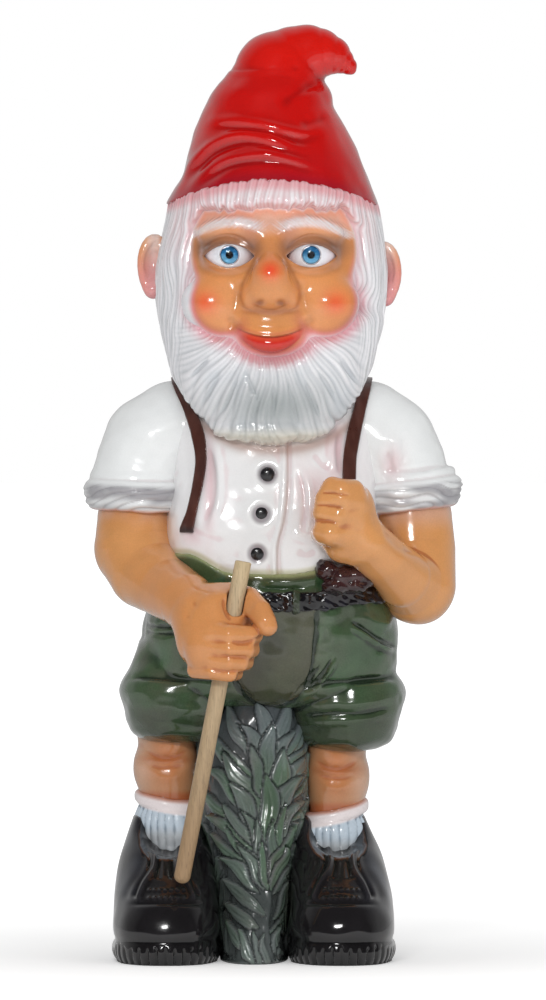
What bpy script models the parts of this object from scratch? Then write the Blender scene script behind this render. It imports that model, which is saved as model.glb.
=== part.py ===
"""Garden gnome leaning on a stick: thin moulded shells, set-in eyes and buttons, a wooden stick.

The frame is in metres with +Z up. The figure faces -Y, and its own left hand is on +X.
The origin lies on the ground, under the bush that fills the space between the shoes.
Every table below is in millimetres. An upright section reads
(height, centre x, centre y, half width, half depth), and a limb joint reads (x, y, z, radius).
"""

import math

import bmesh
import bpy
from mathutils import Matrix, Vector

MM = 0.001
BOTH = ("left", "right")
SHELL_SIDES = 16  # vertices round a shell
LIMB_SIDES = 14  # vertices round an arm, a sleeve or a turned piece
WALL = 3.0  # thickness of a moulded shell
GAP = 0.4  # air between neighbouring shells
STRAP = 2.6  # thickness of a brace and of the belt
PAST = 20.0  # how far a cutter runs past the face it opens
REACH = 200.0  # half length of a cutter that crosses the whole figure

STICK_RADIUS = 6.0
STICK_TOP = Vector((-19.5, -110.0, 297.0))
STICK_FOOT = Vector((-65.5, -110.0, 60.0))
STICK_CLEARANCE = 0.5  # between the stick and the bore through the fist
STICK_SIDES = 24

EYE_RADIUS = 17.0
EYE_HEIGHT = 520.0
EYE_SPREAD = 30.0  # from the middle plane to each eye's centre
EYE_DEPTH = -58.0
IRIS_RADIUS = 8.0
IRIS_THICKNESS = 1.0
IRIS_FACE = 14.6  # from the eye's centre to the front of the iris disc
CORNEA_RISE = 3.4

BUTTON_RADIUS = 5.0
SHANK_RADIUS = 1.6
SHANK_HOLE_RADIUS = 2.0
BUTTONS = {"upper": (-2.0, 359.0), "middle": (-6.5, 330.0), "lower": (-9.5, 301.0)}

PLUG_CENTRE = (-12.0, 42.0)
PLUG_RADIUS = 15.0
PLUG_FLANGE_RADIUS = 19.0
PLUG_FLANGE = 3.0
PLUG_DEPTH = 12.0
PLUG_RECESS = 1.5  # how far the flange sits above the ground

TORSO_POWER = 2.3
TORSO = (
    (288, 2, -4, 79, 67),
    (310, 2, -5, 80, 69),
    (350, 3, -4, 79, 66),
    (390, 3, -2, 78, 60),
    (415, 3, 0, 72, 52),
    (432, 3, 0, 58, 43),
    (441, 3, 0, 46, 38),
)
WAIST_SPIGOT = ((270, 2, -4, 73, 61), (296, 2, -4, 73, 61))

TROUSERS_POWER = 2.4
PELVIS = (
    (176, -5, -5, 56, 42),
    (190, -4, -5, 84, 58),
    (215, 0, -5, 94, 66),
    (245, 0, -5, 95, 71),
    (270, 1, -5, 88, 72),
    (287, 2, -4, 83, 70),
)
HEM = (
    (156, 0, -8, 33, 34),
    (161, 0, -8, 43, 43),
    (180, 0, -8, 46, 47),
    (199, 0, -8, 46, 47),
    (207, 0, -8, 42, 44),
    (238, 0, -6, 36, 38),
)
HEM_CENTRE = {"left": 57.0, "right": -66.0}

LEG_CENTRE = {"left": (50.0, -6.0), "right": (-72.5, -6.0)}
LEG_DROP = {"left": -9.0, "right": 0.0}  # the left sock is pushed further down
LEG = (
    (110, 0, 0, 19, 19),
    (128, 0, 0, 20.5, 21),
    (150, 0, 0, 21.5, 23),
    (172, 0, -1, 23, 24),
    (212, 0, 0, 22, 24),
)
SOCK = (
    (62, 0, 0, 21, 22),
    (84, 0, 0, 23.5, 24),
    (104, 0, 0, 25, 25),
    (112, 0, 0, 23, 23.5),
    (113, 0, 0, 25, 25.5),
    (126, 0, 0, 24.5, 25),
    (128, 0, 0, 22.8, 23.3),
)

SHOE_CENTRE = {"left": 52.0, "right": -76.5}
SHOE_POWER = 2.3
SHOE = (
    (0, 0, -38, 36, 71),
    (4, 0, -38, 39, 74),
    (14, 0, -38, 39, 74),
    (18, 0, -38, 37, 71),
    (42, 0, -37, 36.5, 69),
    (60, 0, -31, 35, 59),
    (78, 0, -21, 32, 46),
    (94, 0, -12, 29.5, 36),
    (106, 0, -7, 28, 31),
)

BUSH_WALL = 6.0
BUSH_FLOOR = 8.0
BUSH_ROOF = 11.0
BUSH_SHOE_ROOM = 1.2  # between the bush and each shoe
BUSH_SOCK_ROOM = 6.0  # round each leg, for its sock
BUSH_FRONT = (
    (0, -12, -10, 25, 84),
    (30, -12, -10, 25, 80),
    (70, -12, -6, 30, 68),
    (110, -12, -2, 37, 60),
    (150, -12, 0, 37, 56),
    (196, -8, 0, 30, 48),
)
BUSH_BACK = (
    (0, -12, 48, 62, 31),
    (60, -12, 50, 56, 33),
    (120, -12, 46, 46, 32),
    (178, -8, 36, 36, 28),
    (200, -6, 30, 28, 22),
)

SKULL = (
    (418, 1, -1, 34, 31),
    (440, 1, -2, 37, 34),
    (455, 1, -8, 52, 54),
    (472, 1, -7, 65, 67),
    (497, 1, -6, 71, 72),
    (522, 1, -5, 72, 71),
    (550, 1, -4, 68, 68),
    (576, 1, -3, 56, 57),
    (590, 1, -2, 41, 42),
    (598, 1, -2, 20, 20),
)
NOSE = ((0, -80, 493), (19, 17, 19))
NOSE_BRIDGE = ((0, -72, 514), (10, 12, 20))
CHEEK = ((40, -54, 484), (23, 19, 22))
EAR = ((82, 0, 515), (15, 10, 22))

HAIR = (
    (380, 0, -66, 14, 9),
    (386, 0, -63, 33, 18),
    (400, 1, -55, 51, 28),
    (425, 2, -41, 66, 44),
    (451, 2, -24, 75, 61),
    (487, 2, -7, 80, 77),
    (517, 2, -4, 82, 80),
    (545, 2, -3, 80, 78),
    (570, 2, -2, 75, 73),
    (600, 2, -1, 58, 58),
)
FACE_WINDOW = ((0, -96, 503), (62, 60, 53))
NAPE_HEIGHT = 462.0  # behind NAPE_FRONT the hair ends at this height
NAPE_FRONT = 4.0
HAIRLINE_RISE = 21.0  # height of the hat's rim over the forehead above its height at the sides
RIM_HEIGHT = 577.0  # of the hat's rim over the forehead
RIM_HALF_WIDTH = 78.0

HAT = (
    (2, -1, 538, 78.5),
    (2, -1, 562, 75),
    (2, -1, 588, 66),
    (-1, -1, 618, 51),
    (0, -1, 642, 38.5),
    (9, -1, 660, 28),
    (27, -1, 669, 19.5),
    (43, -1, 667, 15.5),
    (55, -1, 662, 11),
    (60, -1, 659, 5),
)

SLEEVE = (
    (52, 0, 400, 30),
    (76, -1, 398, 36),
    (91, -3, 383, 37),
    (98, -5, 364, 34.5),
    (100, -6, 357, 34),
    (101, -7, 352, 38),
    (102, -8, 336, 37.5),
    (102, -8, 329, 31),
)
ARMS = {
    "right": (
        (-99, -8, 356, 24),
        (-99, -9, 325, 28),
        (-98, -13, 302, 29),
        (-92, -26, 282, 29),
        (-79, -50, 268, 25),
        (-66, -76, 258, 20),
        (-48, -96, 250, 22),
    ),
    "left": (
        (103, -8, 356, 24),
        (105, -9, 325, 28),
        (107, -13, 300, 30),
        (103, -28, 281, 29),
        (89, -54, 285, 26),
        (73, -78, 301, 20),
        (62, -88, 312, 20),
    ),
}
FIST = {"right": ((-37, -109, 246), (33, 25, 33)), "left": ((55, -93, 325), (25, 24, 33))}
FINGERS = 4
FINGER_RADIUS = 8.5
FINGER_DEPTH = 11.0
FINGER_SPACING = 14.5

BRACE_X = {"left": 61.0, "right": -60.0}
BRACE_WIDTH = 15.0
BRACE_FOOT = 300.0
BELT_LOW, BELT_HIGH = 259.0, 274.0

PAINT = {
    "hat_red": ((0.62, 0.02, 0.015), 0.12),
    "skin": ((0.75, 0.38, 0.16), 0.18),
    "hair_white": ((0.82, 0.80, 0.80), 0.2),
    "shirt_white": ((0.80, 0.79, 0.76), 0.15),
    "brace_brown": ((0.10, 0.03, 0.02), 0.25),
    "trouser_green": ((0.075, 0.12, 0.065), 0.15),
    "belt_black": ((0.012, 0.012, 0.015), 0.2),
    "sock_white": ((0.70, 0.72, 0.74), 0.3),
    "shoe_black": ((0.015, 0.014, 0.014), 0.15),
    "bush_green": ((0.10, 0.15, 0.11), 0.2),
    "wood": ((0.56, 0.42, 0.25), 0.6),
    "button_black": ((0.01, 0.01, 0.012), 0.2),
    "eye_white": ((0.85, 0.86, 0.88), 0.1),
    "iris_blue": ((0.05, 0.32, 0.55), 0.15),
    "cornea_clear": ((0.9, 0.95, 1.0), 0.02),
    "plug_rubber": ((0.03, 0.03, 0.03), 0.7),
}


def clear_scene():
    for obj in list(bpy.data.objects):
        bpy.data.objects.remove(obj)


def material(name):
    """The painted finish called name, made once."""
    found = bpy.data.materials.get(name)
    if found:
        return found
    colour, roughness = PAINT[name]
    made = bpy.data.materials.new(name)
    made.use_nodes = True
    shader = made.node_tree.nodes["Principled BSDF"]
    shader.inputs["Base Color"].default_value = (*colour, 1.0)
    shader.inputs["Roughness"].default_value = roughness
    return made


def object_from(bm, name, paint=None):
    """Turns the bmesh, in millimetres, into an object in metres with its faces pointing out."""
    bmesh.ops.recalc_face_normals(bm, faces=bm.faces)
    bmesh.ops.scale(bm, vec=(MM, MM, MM), verts=bm.verts)
    mesh = bpy.data.meshes.new(name)
    bm.to_mesh(mesh)
    bm.free()
    mesh.shade_smooth()
    mesh.set_sharp_from_angle(angle=math.radians(40))
    obj = bpy.data.objects.new(name, mesh)
    bpy.context.scene.collection.objects.link(obj)
    if paint:
        mesh.materials.append(material(paint))
    return obj


def bridge_rings(bm, rings):
    """Skins rings of equal count, and caps both ends."""
    for low, high in zip(rings, rings[1:]):
        for i in range(len(low)):
            j = (i + 1) % len(low)
            bm.faces.new((low[i], low[j], high[j], high[i]))
    bm.faces.new(rings[0])
    bm.faces.new(rings[-1])


def superellipse(angle, power):
    """A point on the unit superellipse, which is boxier than a circle above power 2."""
    x, y = math.cos(angle), math.sin(angle)
    return (
        math.copysign(abs(x) ** (2 / power), x),
        math.copysign(abs(y) ** (2 / power), y),
    )


def upright(name, sections, paint=None, grow=0.0, ends=(0.0, 0.0), power=2.0, shift=(0, 0, 0)):
    """A closed solid through upright sections. grow widens it; ends lengthens it below and above."""
    bm = bmesh.new()
    rings = []
    last = len(sections) - 1
    for index, (z, cx, cy, half_x, half_y) in enumerate(sections):
        z += -ends[0] if index == 0 else ends[1] if index == last else 0.0
        ring = []
        for i in range(SHELL_SIDES):
            x, y = superellipse(2 * math.pi * i / SHELL_SIDES, power)
            point = Vector((cx + (half_x + grow) * x, cy + (half_y + grow) * y, z))
            ring.append(bm.verts.new(point + Vector(shift)))
        rings.append(ring)
    bridge_rings(bm, rings)
    return object_from(bm, name, paint)


def limb(name, joints, paint=None, grow=0.0, ends=(0.0, 0.0), sides=LIMB_SIDES):
    """A closed round tube through joints, its rings square to the path that joins them."""
    points = [Vector(joint[:3]) for joint in joints]
    bm = bmesh.new()
    rings = []
    last = len(points) - 1
    side = Vector((0, 1, 0))
    for index, point in enumerate(points):
        along = (points[min(index + 1, last)] - points[max(index - 1, 0)]).normalized()
        if index == 0:
            point = point - along * ends[0]
        elif index == last:
            point = point + along * ends[1]
        side = (side - along * side.dot(along)).normalized()
        other = along.cross(side)
        radius = joints[index][3] + grow
        ring = []
        for i in range(sides):
            angle = 2 * math.pi * i / sides
            ring.append(bm.verts.new(point + radius * (math.cos(angle) * side + math.sin(angle) * other)))
        rings.append(ring)
    bridge_rings(bm, rings)
    return object_from(bm, name, paint)


def ellipsoid(name, centre, radii, paint=None, grow=0.0, segments=14, rings=9):
    bm = bmesh.new()
    bmesh.ops.create_uvsphere(bm, u_segments=segments, v_segments=rings, radius=1.0)
    bmesh.ops.scale(bm, vec=[r + grow for r in radii], verts=bm.verts)
    bmesh.ops.translate(bm, vec=centre, verts=bm.verts)
    return object_from(bm, name, paint)


def box(name, low, high):
    bm = bmesh.new()
    bmesh.ops.create_cube(bm, size=1.0)
    bmesh.ops.scale(bm, vec=[b - a for a, b in zip(low, high)], verts=bm.verts)
    bmesh.ops.translate(bm, vec=[(a + b) / 2 for a, b in zip(low, high)], verts=bm.verts)
    return object_from(bm, name)


def turned(name, profile, start, direction, paint=None, sides=LIMB_SIDES):
    """A round solid on an axis: profile lists (distance along direction from start, radius)."""
    start = Vector(start)
    direction = Vector(direction).normalized()
    turn = Vector((0, 0, 1)).rotation_difference(direction).to_matrix().to_4x4()
    bm = bmesh.new()
    rings = []
    for along, radius in profile:
        angles = [2 * math.pi * i / sides for i in range(sides)]
        rings.append([bm.verts.new((radius * math.cos(a), radius * math.sin(a), along)) for a in angles])
    bridge_rings(bm, rings)
    bmesh.ops.transform(bm, matrix=Matrix.Translation(start) @ turn, verts=bm.verts)
    return object_from(bm, name, paint)


def mirrored(spec, side):
    """A (centre, radii) pair drawn for the left side, moved to the side asked for."""
    (x, y, z), radii = spec
    return (x if side == "left" else -x, y, z), radii


def boolean(target, tool, operation):
    """Adds a live Boolean to target and keeps its tool out of the render."""
    modifier = target.modifiers.new(f"{operation.lower()}_{tool.name}", "BOOLEAN")
    modifier.operation = operation
    modifier.object = tool
    modifier.solver = "EXACT"
    tool.hide_render = True
    tool.display_type = "WIRE"


def cut(target, *tools):
    for tool in tools:
        boolean(target, tool, "DIFFERENCE")


def join(target, *tools):
    for tool in tools:
        boolean(target, tool, "UNION")


def torso_front(x, z):
    """The y of the shirt's front surface at x and z."""
    for low, high in zip(TORSO, TORSO[1:]):
        if low[0] <= z <= high[0]:
            share = (z - low[0]) / (high[0] - low[0])
            _, cx, cy, half_x, half_y = (a + (b - a) * share for a, b in zip(low, high))
            reach = 1 - abs((x - cx) / half_x) ** TORSO_POWER
            return cy - half_y * reach ** (1 / TORSO_POWER)
    raise ValueError(f"height {z} is outside the torso")


def torso_envelope(name, grow):
    return upright(name, TORSO, grow=grow, ends=(grow, grow), power=TORSO_POWER)


def pelvis_envelope(name, grow, ends=(0.0, 0.0)):
    return upright(name, PELVIS, grow=grow, ends=ends, power=TROUSERS_POWER)


def leg_shift(side):
    x, y = LEG_CENTRE[side]
    return (x, y, 0)


def sock_shift(side):
    x, y = LEG_CENTRE[side]
    return (x, y, LEG_DROP[side])


def rim_cutter(name, drop):
    """A long cylinder across the forehead whose top is the arch of the hat's rim, lowered by drop."""
    radius = (RIM_HALF_WIDTH**2 + HAIRLINE_RISE**2) / (2 * HAIRLINE_RISE)
    centre = (0, 0, RIM_HEIGHT - radius - drop)
    return turned(name, ((-REACH, radius), (REACH, radius)), centre, (0, 1, 0), sides=48)


def build_shirt():
    shirt = upright("shirt", TORSO, "shirt_white", power=TORSO_POWER)
    join(shirt, upright("waist_spigot", WAIST_SPIGOT, power=TORSO_POWER))
    cut(
        shirt,
        upright("shirt_cavity", TORSO, grow=-WALL, ends=(-WALL, PAST), power=TORSO_POWER),
        upright("waist_bore", WAIST_SPIGOT, grow=-WALL, ends=(PAST, 0), power=TORSO_POWER),
    )
    for name, (x, z) in BUTTONS.items():
        y = torso_front(x, z)
        through = ((-PAST, SHANK_HOLE_RADIUS), (PAST, SHANK_HOLE_RADIUS))
        cut(shirt, turned(f"hole_{name}", through, (x, y, z), (0, -1, 0), sides=12))


def build_buttons():
    for name, (x, z) in BUTTONS.items():
        face = torso_front(x, z) - GAP
        profile = (
            (-6.5, SHANK_RADIUS),
            (0.6, SHANK_RADIUS),
            (0.7, BUTTON_RADIUS - 0.4),
            (1.6, BUTTON_RADIUS),
            (2.6, BUTTON_RADIUS * 0.8),
            (3.2, BUTTON_RADIUS * 0.4),
        )
        turned(f"button_{name}", profile, (x, face, z), (0, -1, 0), "button_black")


def build_trousers():
    trousers = pelvis_envelope("trousers", 0.0)
    trousers.data.materials.append(material("trouser_green"))
    for side, centre in HEM_CENTRE.items():
        join(trousers, upright(f"hem_{side}", HEM, power=TROUSERS_POWER, shift=(centre, 0, 0)))
    cut(trousers, pelvis_envelope("pelvis_cavity", -WALL, ends=(-WALL, PAST)))
    for side, centre in HEM_CENTRE.items():
        cavity = upright(
            f"hem_cavity_{side}",
            HEM,
            grow=-WALL,
            ends=(-WALL, 0),
            power=TROUSERS_POWER,
            shift=(centre, 0, 0),
        )
        hole = upright(f"leg_hole_{side}", LEG, grow=GAP, shift=leg_shift(side))
        cut(trousers, cavity, hole)


def build_belt():
    belt = pelvis_envelope("belt", STRAP)
    belt.data.materials.append(material("belt_black"))
    boolean(belt, box("belt_slab", (-REACH, -REACH, BELT_LOW), (REACH, REACH, BELT_HIGH)), "INTERSECT")
    cut(belt, pelvis_envelope("belt_bed", GAP, ends=(0, 10)))


def build_leg(side):
    shift = leg_shift(side)
    leg = upright(f"leg_{side}", LEG, "skin", ends=(-LEG_DROP[side], 0), shift=shift)
    cut(leg, upright(f"leg_cavity_{side}", LEG, grow=-WALL, ends=(PAST, PAST), shift=shift))


def build_sock(side):
    sock = upright(f"sock_{side}", SOCK, "sock_white", shift=sock_shift(side))
    cut(
        sock,
        upright(f"sock_cavity_{side}", SOCK[:3], grow=-WALL, ends=(PAST, 0), shift=sock_shift(side)),
        upright(f"sock_bore_{side}", LEG, grow=GAP, ends=(PAST, 0), shift=leg_shift(side)),
    )


def shoe_envelope(name, side, grow, ends=(0.0, 0.0), sections=SHOE):
    return upright(name, sections, grow=grow, ends=ends, power=SHOE_POWER, shift=(SHOE_CENTRE[side], 0, 0))


def build_shoe(side):
    shoe = shoe_envelope(f"shoe_{side}", side, 0.0)
    shoe.data.materials.append(material("shoe_black"))
    cavity = shoe_envelope(f"shoe_cavity_{side}", side, -WALL, ends=(0, PAST), sections=SHOE[3:])
    cut(shoe, cavity, upright(f"ankle_hole_{side}", SOCK, grow=GAP, ends=(0, PAST), shift=sock_shift(side)))


def plug_hole(name, radius, height):
    """A cutter from below the ground up to height, with room round the plug's radius."""
    profile = ((-PAST, radius + GAP), (height, radius + GAP))
    return turned(name, profile, (*PLUG_CENTRE, 0), (0, 0, 1))


def build_bush():
    bush = upright("bush", BUSH_FRONT, "bush_green")
    join(bush, upright("bush_back", BUSH_BACK))
    cut(
        bush,
        upright("bush_core", BUSH_BACK, grow=-BUSH_WALL, ends=(-BUSH_FLOOR, -BUSH_ROOF)),
        upright("bush_front_core", BUSH_FRONT, grow=-BUSH_WALL, ends=(-BUSH_FLOOR, -BUSH_ROOF)),
        plug_hole("filler_hole", PLUG_RADIUS, PAST),
        plug_hole("flange_recess", PLUG_FLANGE_RADIUS, PLUG_RECESS + PLUG_FLANGE + GAP),
        pelvis_envelope("bush_seat", GAP, ends=(GAP, PAST)),
    )
    for side, centre in HEM_CENTRE.items():
        cut(
            bush,
            shoe_envelope(f"bush_clear_shoe_{side}", side, BUSH_SHOE_ROOM, ends=(PAST, BUSH_SHOE_ROOM)),
            upright(
                f"bush_clear_hem_{side}",
                HEM,
                grow=GAP,
                ends=(GAP, 0),
                power=TROUSERS_POWER,
                shift=(centre, 0, 0),
            ),
            upright(
                f"bush_clear_sock_{side}",
                LEG,
                grow=BUSH_SOCK_ROOM,
                ends=(3 * PAST, 0),
                shift=leg_shift(side),
            ),
        )


def build_plug():
    profile = (
        (0, PLUG_FLANGE_RADIUS),
        (PLUG_FLANGE, PLUG_FLANGE_RADIUS),
        (PLUG_FLANGE, PLUG_RADIUS),
        (PLUG_DEPTH - 2, PLUG_RADIUS),
        (PLUG_DEPTH, PLUG_RADIUS - 1.5),
    )
    turned("filler_plug", profile, (*PLUG_CENTRE, PLUG_RECESS), (0, 0, 1), "plug_rubber")


def head_parts(prefix, grow):
    """The features that stand out of the skull."""
    parts = [
        ellipsoid(f"{prefix}_nose", *NOSE, grow=grow),
        ellipsoid(f"{prefix}_nose_bridge", *NOSE_BRIDGE, grow=grow, segments=12, rings=8),
    ]
    for side in BOTH:
        parts.append(ellipsoid(f"{prefix}_cheek_{side}", *mirrored(CHEEK, side), grow=grow))
        parts.append(ellipsoid(f"{prefix}_ear_{side}", *mirrored(EAR, side), grow=grow, segments=12))
    return parts


def eye_centre(side):
    return Vector((EYE_SPREAD if side == "left" else -EYE_SPREAD, EYE_DEPTH, EYE_HEIGHT))


def eye_ball(name, side, grow):
    return ellipsoid(name, eye_centre(side), (EYE_RADIUS,) * 3, grow=grow, segments=16, rings=10)


def build_head():
    head = upright("head", SKULL, "skin")
    join(head, *head_parts("head", 0.0))
    cut(head, upright("head_cavity", SKULL[:-1], grow=-WALL, ends=(PAST, 0)))
    for side in BOTH:
        cut(head, eye_ball(f"socket_{side}", side, GAP))


def build_eye(side):
    centre = eye_centre(side)
    forward = (0, -1, 0)
    recess = IRIS_FACE - IRIS_THICKNESS - GAP
    ball = eye_ball(f"eyeball_{side}", side, 0.0)
    ball.data.materials.append(material("eye_white"))
    seat = ((recess, IRIS_RADIUS + GAP), (PAST, IRIS_RADIUS + GAP))
    cut(ball, turned(f"iris_seat_{side}", seat, centre, forward))
    disc = ((recess + GAP, IRIS_RADIUS), (IRIS_FACE, IRIS_RADIUS))
    turned(f"iris_{side}", disc, centre, forward, "iris_blue", sides=20)
    dome = [(IRIS_FACE + GAP, IRIS_RADIUS)]
    for step in range(1, 5):
        rise = math.radians(20 * step)
        dome.append((IRIS_FACE + GAP + CORNEA_RISE * math.sin(rise), IRIS_RADIUS * math.cos(rise)))
    turned(f"cornea_{side}", dome, centre, forward, "cornea_clear", sides=20)


def build_hair():
    hair = upright("hair_and_beard", HAIR, "hair_white")
    boolean(hair, rim_cutter("hair_arch", GAP), "INTERSECT")
    cut(
        hair,
        upright("hair_bed", SKULL, grow=GAP, ends=(0, 2)),
        ellipsoid("face_window", *FACE_WINDOW, segments=20, rings=12),
        *head_parts("hair_clear", GAP),
        *[eye_ball(f"hair_clear_eye_{side}", side, 2 * GAP) for side in BOTH],
        torso_envelope("hair_clear_shirt", STRAP + 2 * GAP),
        box("nape_cut", (-REACH, NAPE_FRONT, NAPE_HEIGHT - REACH), (REACH, REACH, NAPE_HEIGHT)),
    )


def build_hat():
    hat = limb("hat", HAT, "hat_red", sides=SHELL_SIDES + 4)
    cut(
        hat,
        limb("hat_cavity", HAT[:6], grow=-WALL, ends=(PAST, 0), sides=SHELL_SIDES + 4),
        rim_cutter("hat_arch", 0.0),
        upright("hat_bed", SKULL, grow=GAP, ends=(0, GAP)),
    )


def sleeve_joints(side):
    """The table is drawn for the left side; the right cuff stands a little closer to the body."""
    if side == "left":
        return SLEEVE
    return [(4 - x, y, z, radius) for x, y, z, radius in SLEEVE]


def build_sleeve(side):
    joints = sleeve_joints(side)
    sleeve = limb(f"sleeve_{side}", joints, "shirt_white")
    cut(
        sleeve,
        limb(f"sleeve_cavity_{side}", joints[1:-2], grow=-WALL),
        limb(f"sleeve_bore_{side}", ARMS[side][:3], grow=GAP, ends=(PAST / 2, 0)),
        torso_envelope(f"sleeve_clear_shirt_{side}", STRAP + 2 * GAP),
    )


def stick_axis():
    return (STICK_TOP - STICK_FOOT).normalized()


def build_arm(side):
    joints = ARMS[side]
    centre, radii = FIST[side]
    arm = limb(f"arm_{side}", joints, "skin")
    join(arm, ellipsoid(f"fist_{side}", centre, radii))
    finger_radii = (radii[0] * 0.62, FINGER_DEPTH, FINGER_RADIUS)
    for finger in range(FINGERS):
        height = centre[2] + ((FINGERS - 1) / 2 - finger) * FINGER_SPACING
        knuckles = (centre[0], centre[1] - radii[1] * 0.55, height)
        join(arm, ellipsoid(f"finger_{side}_{finger}", knuckles, finger_radii, segments=12, rings=8))
    cut(arm, limb(f"arm_cavity_{side}", joints[:-1], grow=-WALL, ends=(PAST, 0)))
    if side == "right":
        radius = STICK_RADIUS + STICK_CLEARANCE
        bore = ((-PAST, radius), (2 * REACH, radius))
        cut(arm, turned("stick_bore", bore, STICK_FOOT, stick_axis(), sides=STICK_SIDES))
    cut(arm, torso_envelope(f"arm_clear_shirt_{side}", STRAP + 2 * GAP))
    cut(arm, pelvis_envelope(f"arm_clear_trousers_{side}", STRAP + 2 * GAP, ends=(0, PAST)))


def build_stick():
    length = (STICK_TOP - STICK_FOOT).length
    rounding = (0.35, 0.75)
    profile = [
        (0, STICK_RADIUS * rounding[0]),
        (STICK_RADIUS * 0.25, STICK_RADIUS * rounding[1]),
        (STICK_RADIUS * 0.6, STICK_RADIUS),
    ]
    profile += [(length - along, radius) for along, radius in reversed(profile)]
    turned("stick", profile, STICK_FOOT, stick_axis(), "wood", sides=STICK_SIDES)


def build_brace(side):
    """A band over the shoulder: the shell between two grown copies of the torso, cut to a strip."""
    brace = torso_envelope(f"brace_{side}", STRAP + GAP)
    brace.data.materials.append(material("brace_brown"))
    x = BRACE_X[side]
    strip = box(
        f"brace_strip_{side}",
        (x - BRACE_WIDTH / 2, -REACH, BRACE_FOOT),
        (x + BRACE_WIDTH / 2, REACH, BRACE_FOOT + REACH),
    )
    boolean(brace, strip, "INTERSECT")
    cut(brace, torso_envelope(f"brace_bed_{side}", GAP))


def build_gnome():
    clear_scene()
    build_shirt()
    build_buttons()
    build_trousers()
    build_belt()
    build_bush()
    build_plug()
    build_head()
    build_hair()
    build_hat()
    build_stick()
    for side in BOTH:
        build_leg(side)
        build_sock(side)
        build_shoe(side)
        build_eye(side)
        build_sleeve(side)
        build_arm(side)
        build_brace(side)


build_gnome()
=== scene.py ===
"""Looks of the garden gnome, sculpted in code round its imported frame.

Each visible piece is modelled as clay: rounded shapes are joined and cut on a grid of distances, the
grid is skinned with quads, and the skin is then pressed, combed and painted point by point.
Clay is measured in millimetres from an anchor that is worked out from the CAD nodes' boxes, with +X to
the figure's left, +Y to its back and +Z up.
"""

import math

import bpy
import numpy as np
from mathutils import Euler, Matrix, Vector


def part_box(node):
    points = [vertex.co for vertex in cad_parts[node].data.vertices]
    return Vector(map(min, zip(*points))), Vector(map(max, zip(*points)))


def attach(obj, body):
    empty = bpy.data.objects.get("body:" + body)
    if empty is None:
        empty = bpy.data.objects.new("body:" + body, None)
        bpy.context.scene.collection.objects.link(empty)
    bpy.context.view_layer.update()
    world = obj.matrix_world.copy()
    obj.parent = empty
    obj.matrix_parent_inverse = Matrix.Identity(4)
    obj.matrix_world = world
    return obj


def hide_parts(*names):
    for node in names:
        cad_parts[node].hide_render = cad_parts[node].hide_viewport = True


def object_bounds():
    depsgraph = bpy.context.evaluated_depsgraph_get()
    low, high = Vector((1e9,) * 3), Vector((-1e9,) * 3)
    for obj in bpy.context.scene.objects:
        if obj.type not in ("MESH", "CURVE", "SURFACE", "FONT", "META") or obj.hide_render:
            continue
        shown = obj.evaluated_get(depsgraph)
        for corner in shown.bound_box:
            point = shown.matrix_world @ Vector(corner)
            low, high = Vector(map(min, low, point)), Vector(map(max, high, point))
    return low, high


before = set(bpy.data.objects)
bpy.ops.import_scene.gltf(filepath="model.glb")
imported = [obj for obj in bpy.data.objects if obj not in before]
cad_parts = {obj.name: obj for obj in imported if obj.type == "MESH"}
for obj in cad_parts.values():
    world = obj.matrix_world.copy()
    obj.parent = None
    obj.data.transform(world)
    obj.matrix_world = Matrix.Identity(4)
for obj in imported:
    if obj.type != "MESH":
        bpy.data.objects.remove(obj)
CAD_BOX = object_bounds()

MM = 0.001
COARSE = 1.0  # widens every voxel by this factor; 1.0 keeps them as given
EMPTY = 1000.0  # the distance held by grid points that no shape has reached


def corners(node):
    """The lowest and highest corner of a CAD node, in millimetres."""
    low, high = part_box(node)
    return np.array(low) / MM, np.array(high) / MM


def centre(node):
    low, high = corners(node)
    return (low + high) / 2


def srgb(red, green, blue):
    """A colour on the 0 to 255 screen scale, as linear light."""
    share = np.array([red, green, blue]) / 255.0
    return np.where(share <= 0.04045, share / 12.92, ((share + 0.055) / 1.055) ** 2.4)


# ---------------------------------------------------------------- noise and profiles


def lattice(i, j, k, seed):
    """A repeatable random value in -1 to 1 for each whole-numbered point."""
    h = (i * 374761393 + j * 668265263 + k * 2147483647 + seed * 974711) & 0xFFFFFFFF
    h = ((h ^ (h >> 13)) * 1274126177) & 0xFFFFFFFF
    return ((h ^ (h >> 16)) & 0xFFFF) / 32767.5 - 1.0


def noise(x, y, z, seed=0):
    """Smooth noise in -1 to 1 whose features are one unit wide."""
    x, y, z = np.broadcast_arrays(x, y, z)
    cell = [np.floor(a).astype(np.int64) for a in (x, y, z)]
    part = [a - c for a, c in zip((x, y, z), cell)]
    ease = [t * t * (3 - 2 * t) for t in part]
    total = 0.0
    for corner in np.ndindex(2, 2, 2):
        weight = 1.0
        for axis in range(3):
            weight = weight * (ease[axis] if corner[axis] else 1 - ease[axis])
        total = total + weight * lattice(*[c + d for c, d in zip(cell, corner)], seed)
    return total


def strands(across, along, width, length, seed=0, wander=0.9):
    """Rounded ridges with sharp valleys between them, 0 in a valley and up to 1 on a ridge.

    The ridges are width apart and wander over a distance of length.
    """
    lane = across / width + wander * noise(across / (4 * width), along / length, 0.0, seed)
    offset = lane - np.round(lane)
    height = 0.65 + 0.35 * noise(np.round(lane) * 7.3, along / length, 0.5, seed + 1)
    return height * (1 - 4 * offset**2)


def smoothstep(low, high, value):
    t = np.clip((value - low) / (high - low), 0.0, 1.0)
    return t * t * (3 - 2 * t)


def bump_at(x, z, at_x, at_z, wide_x, wide_z):
    """A soft round spot in the front view."""
    return np.exp(-(((x - at_x) / wide_x) ** 2) - ((z - at_z) / wide_z) ** 2)


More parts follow.
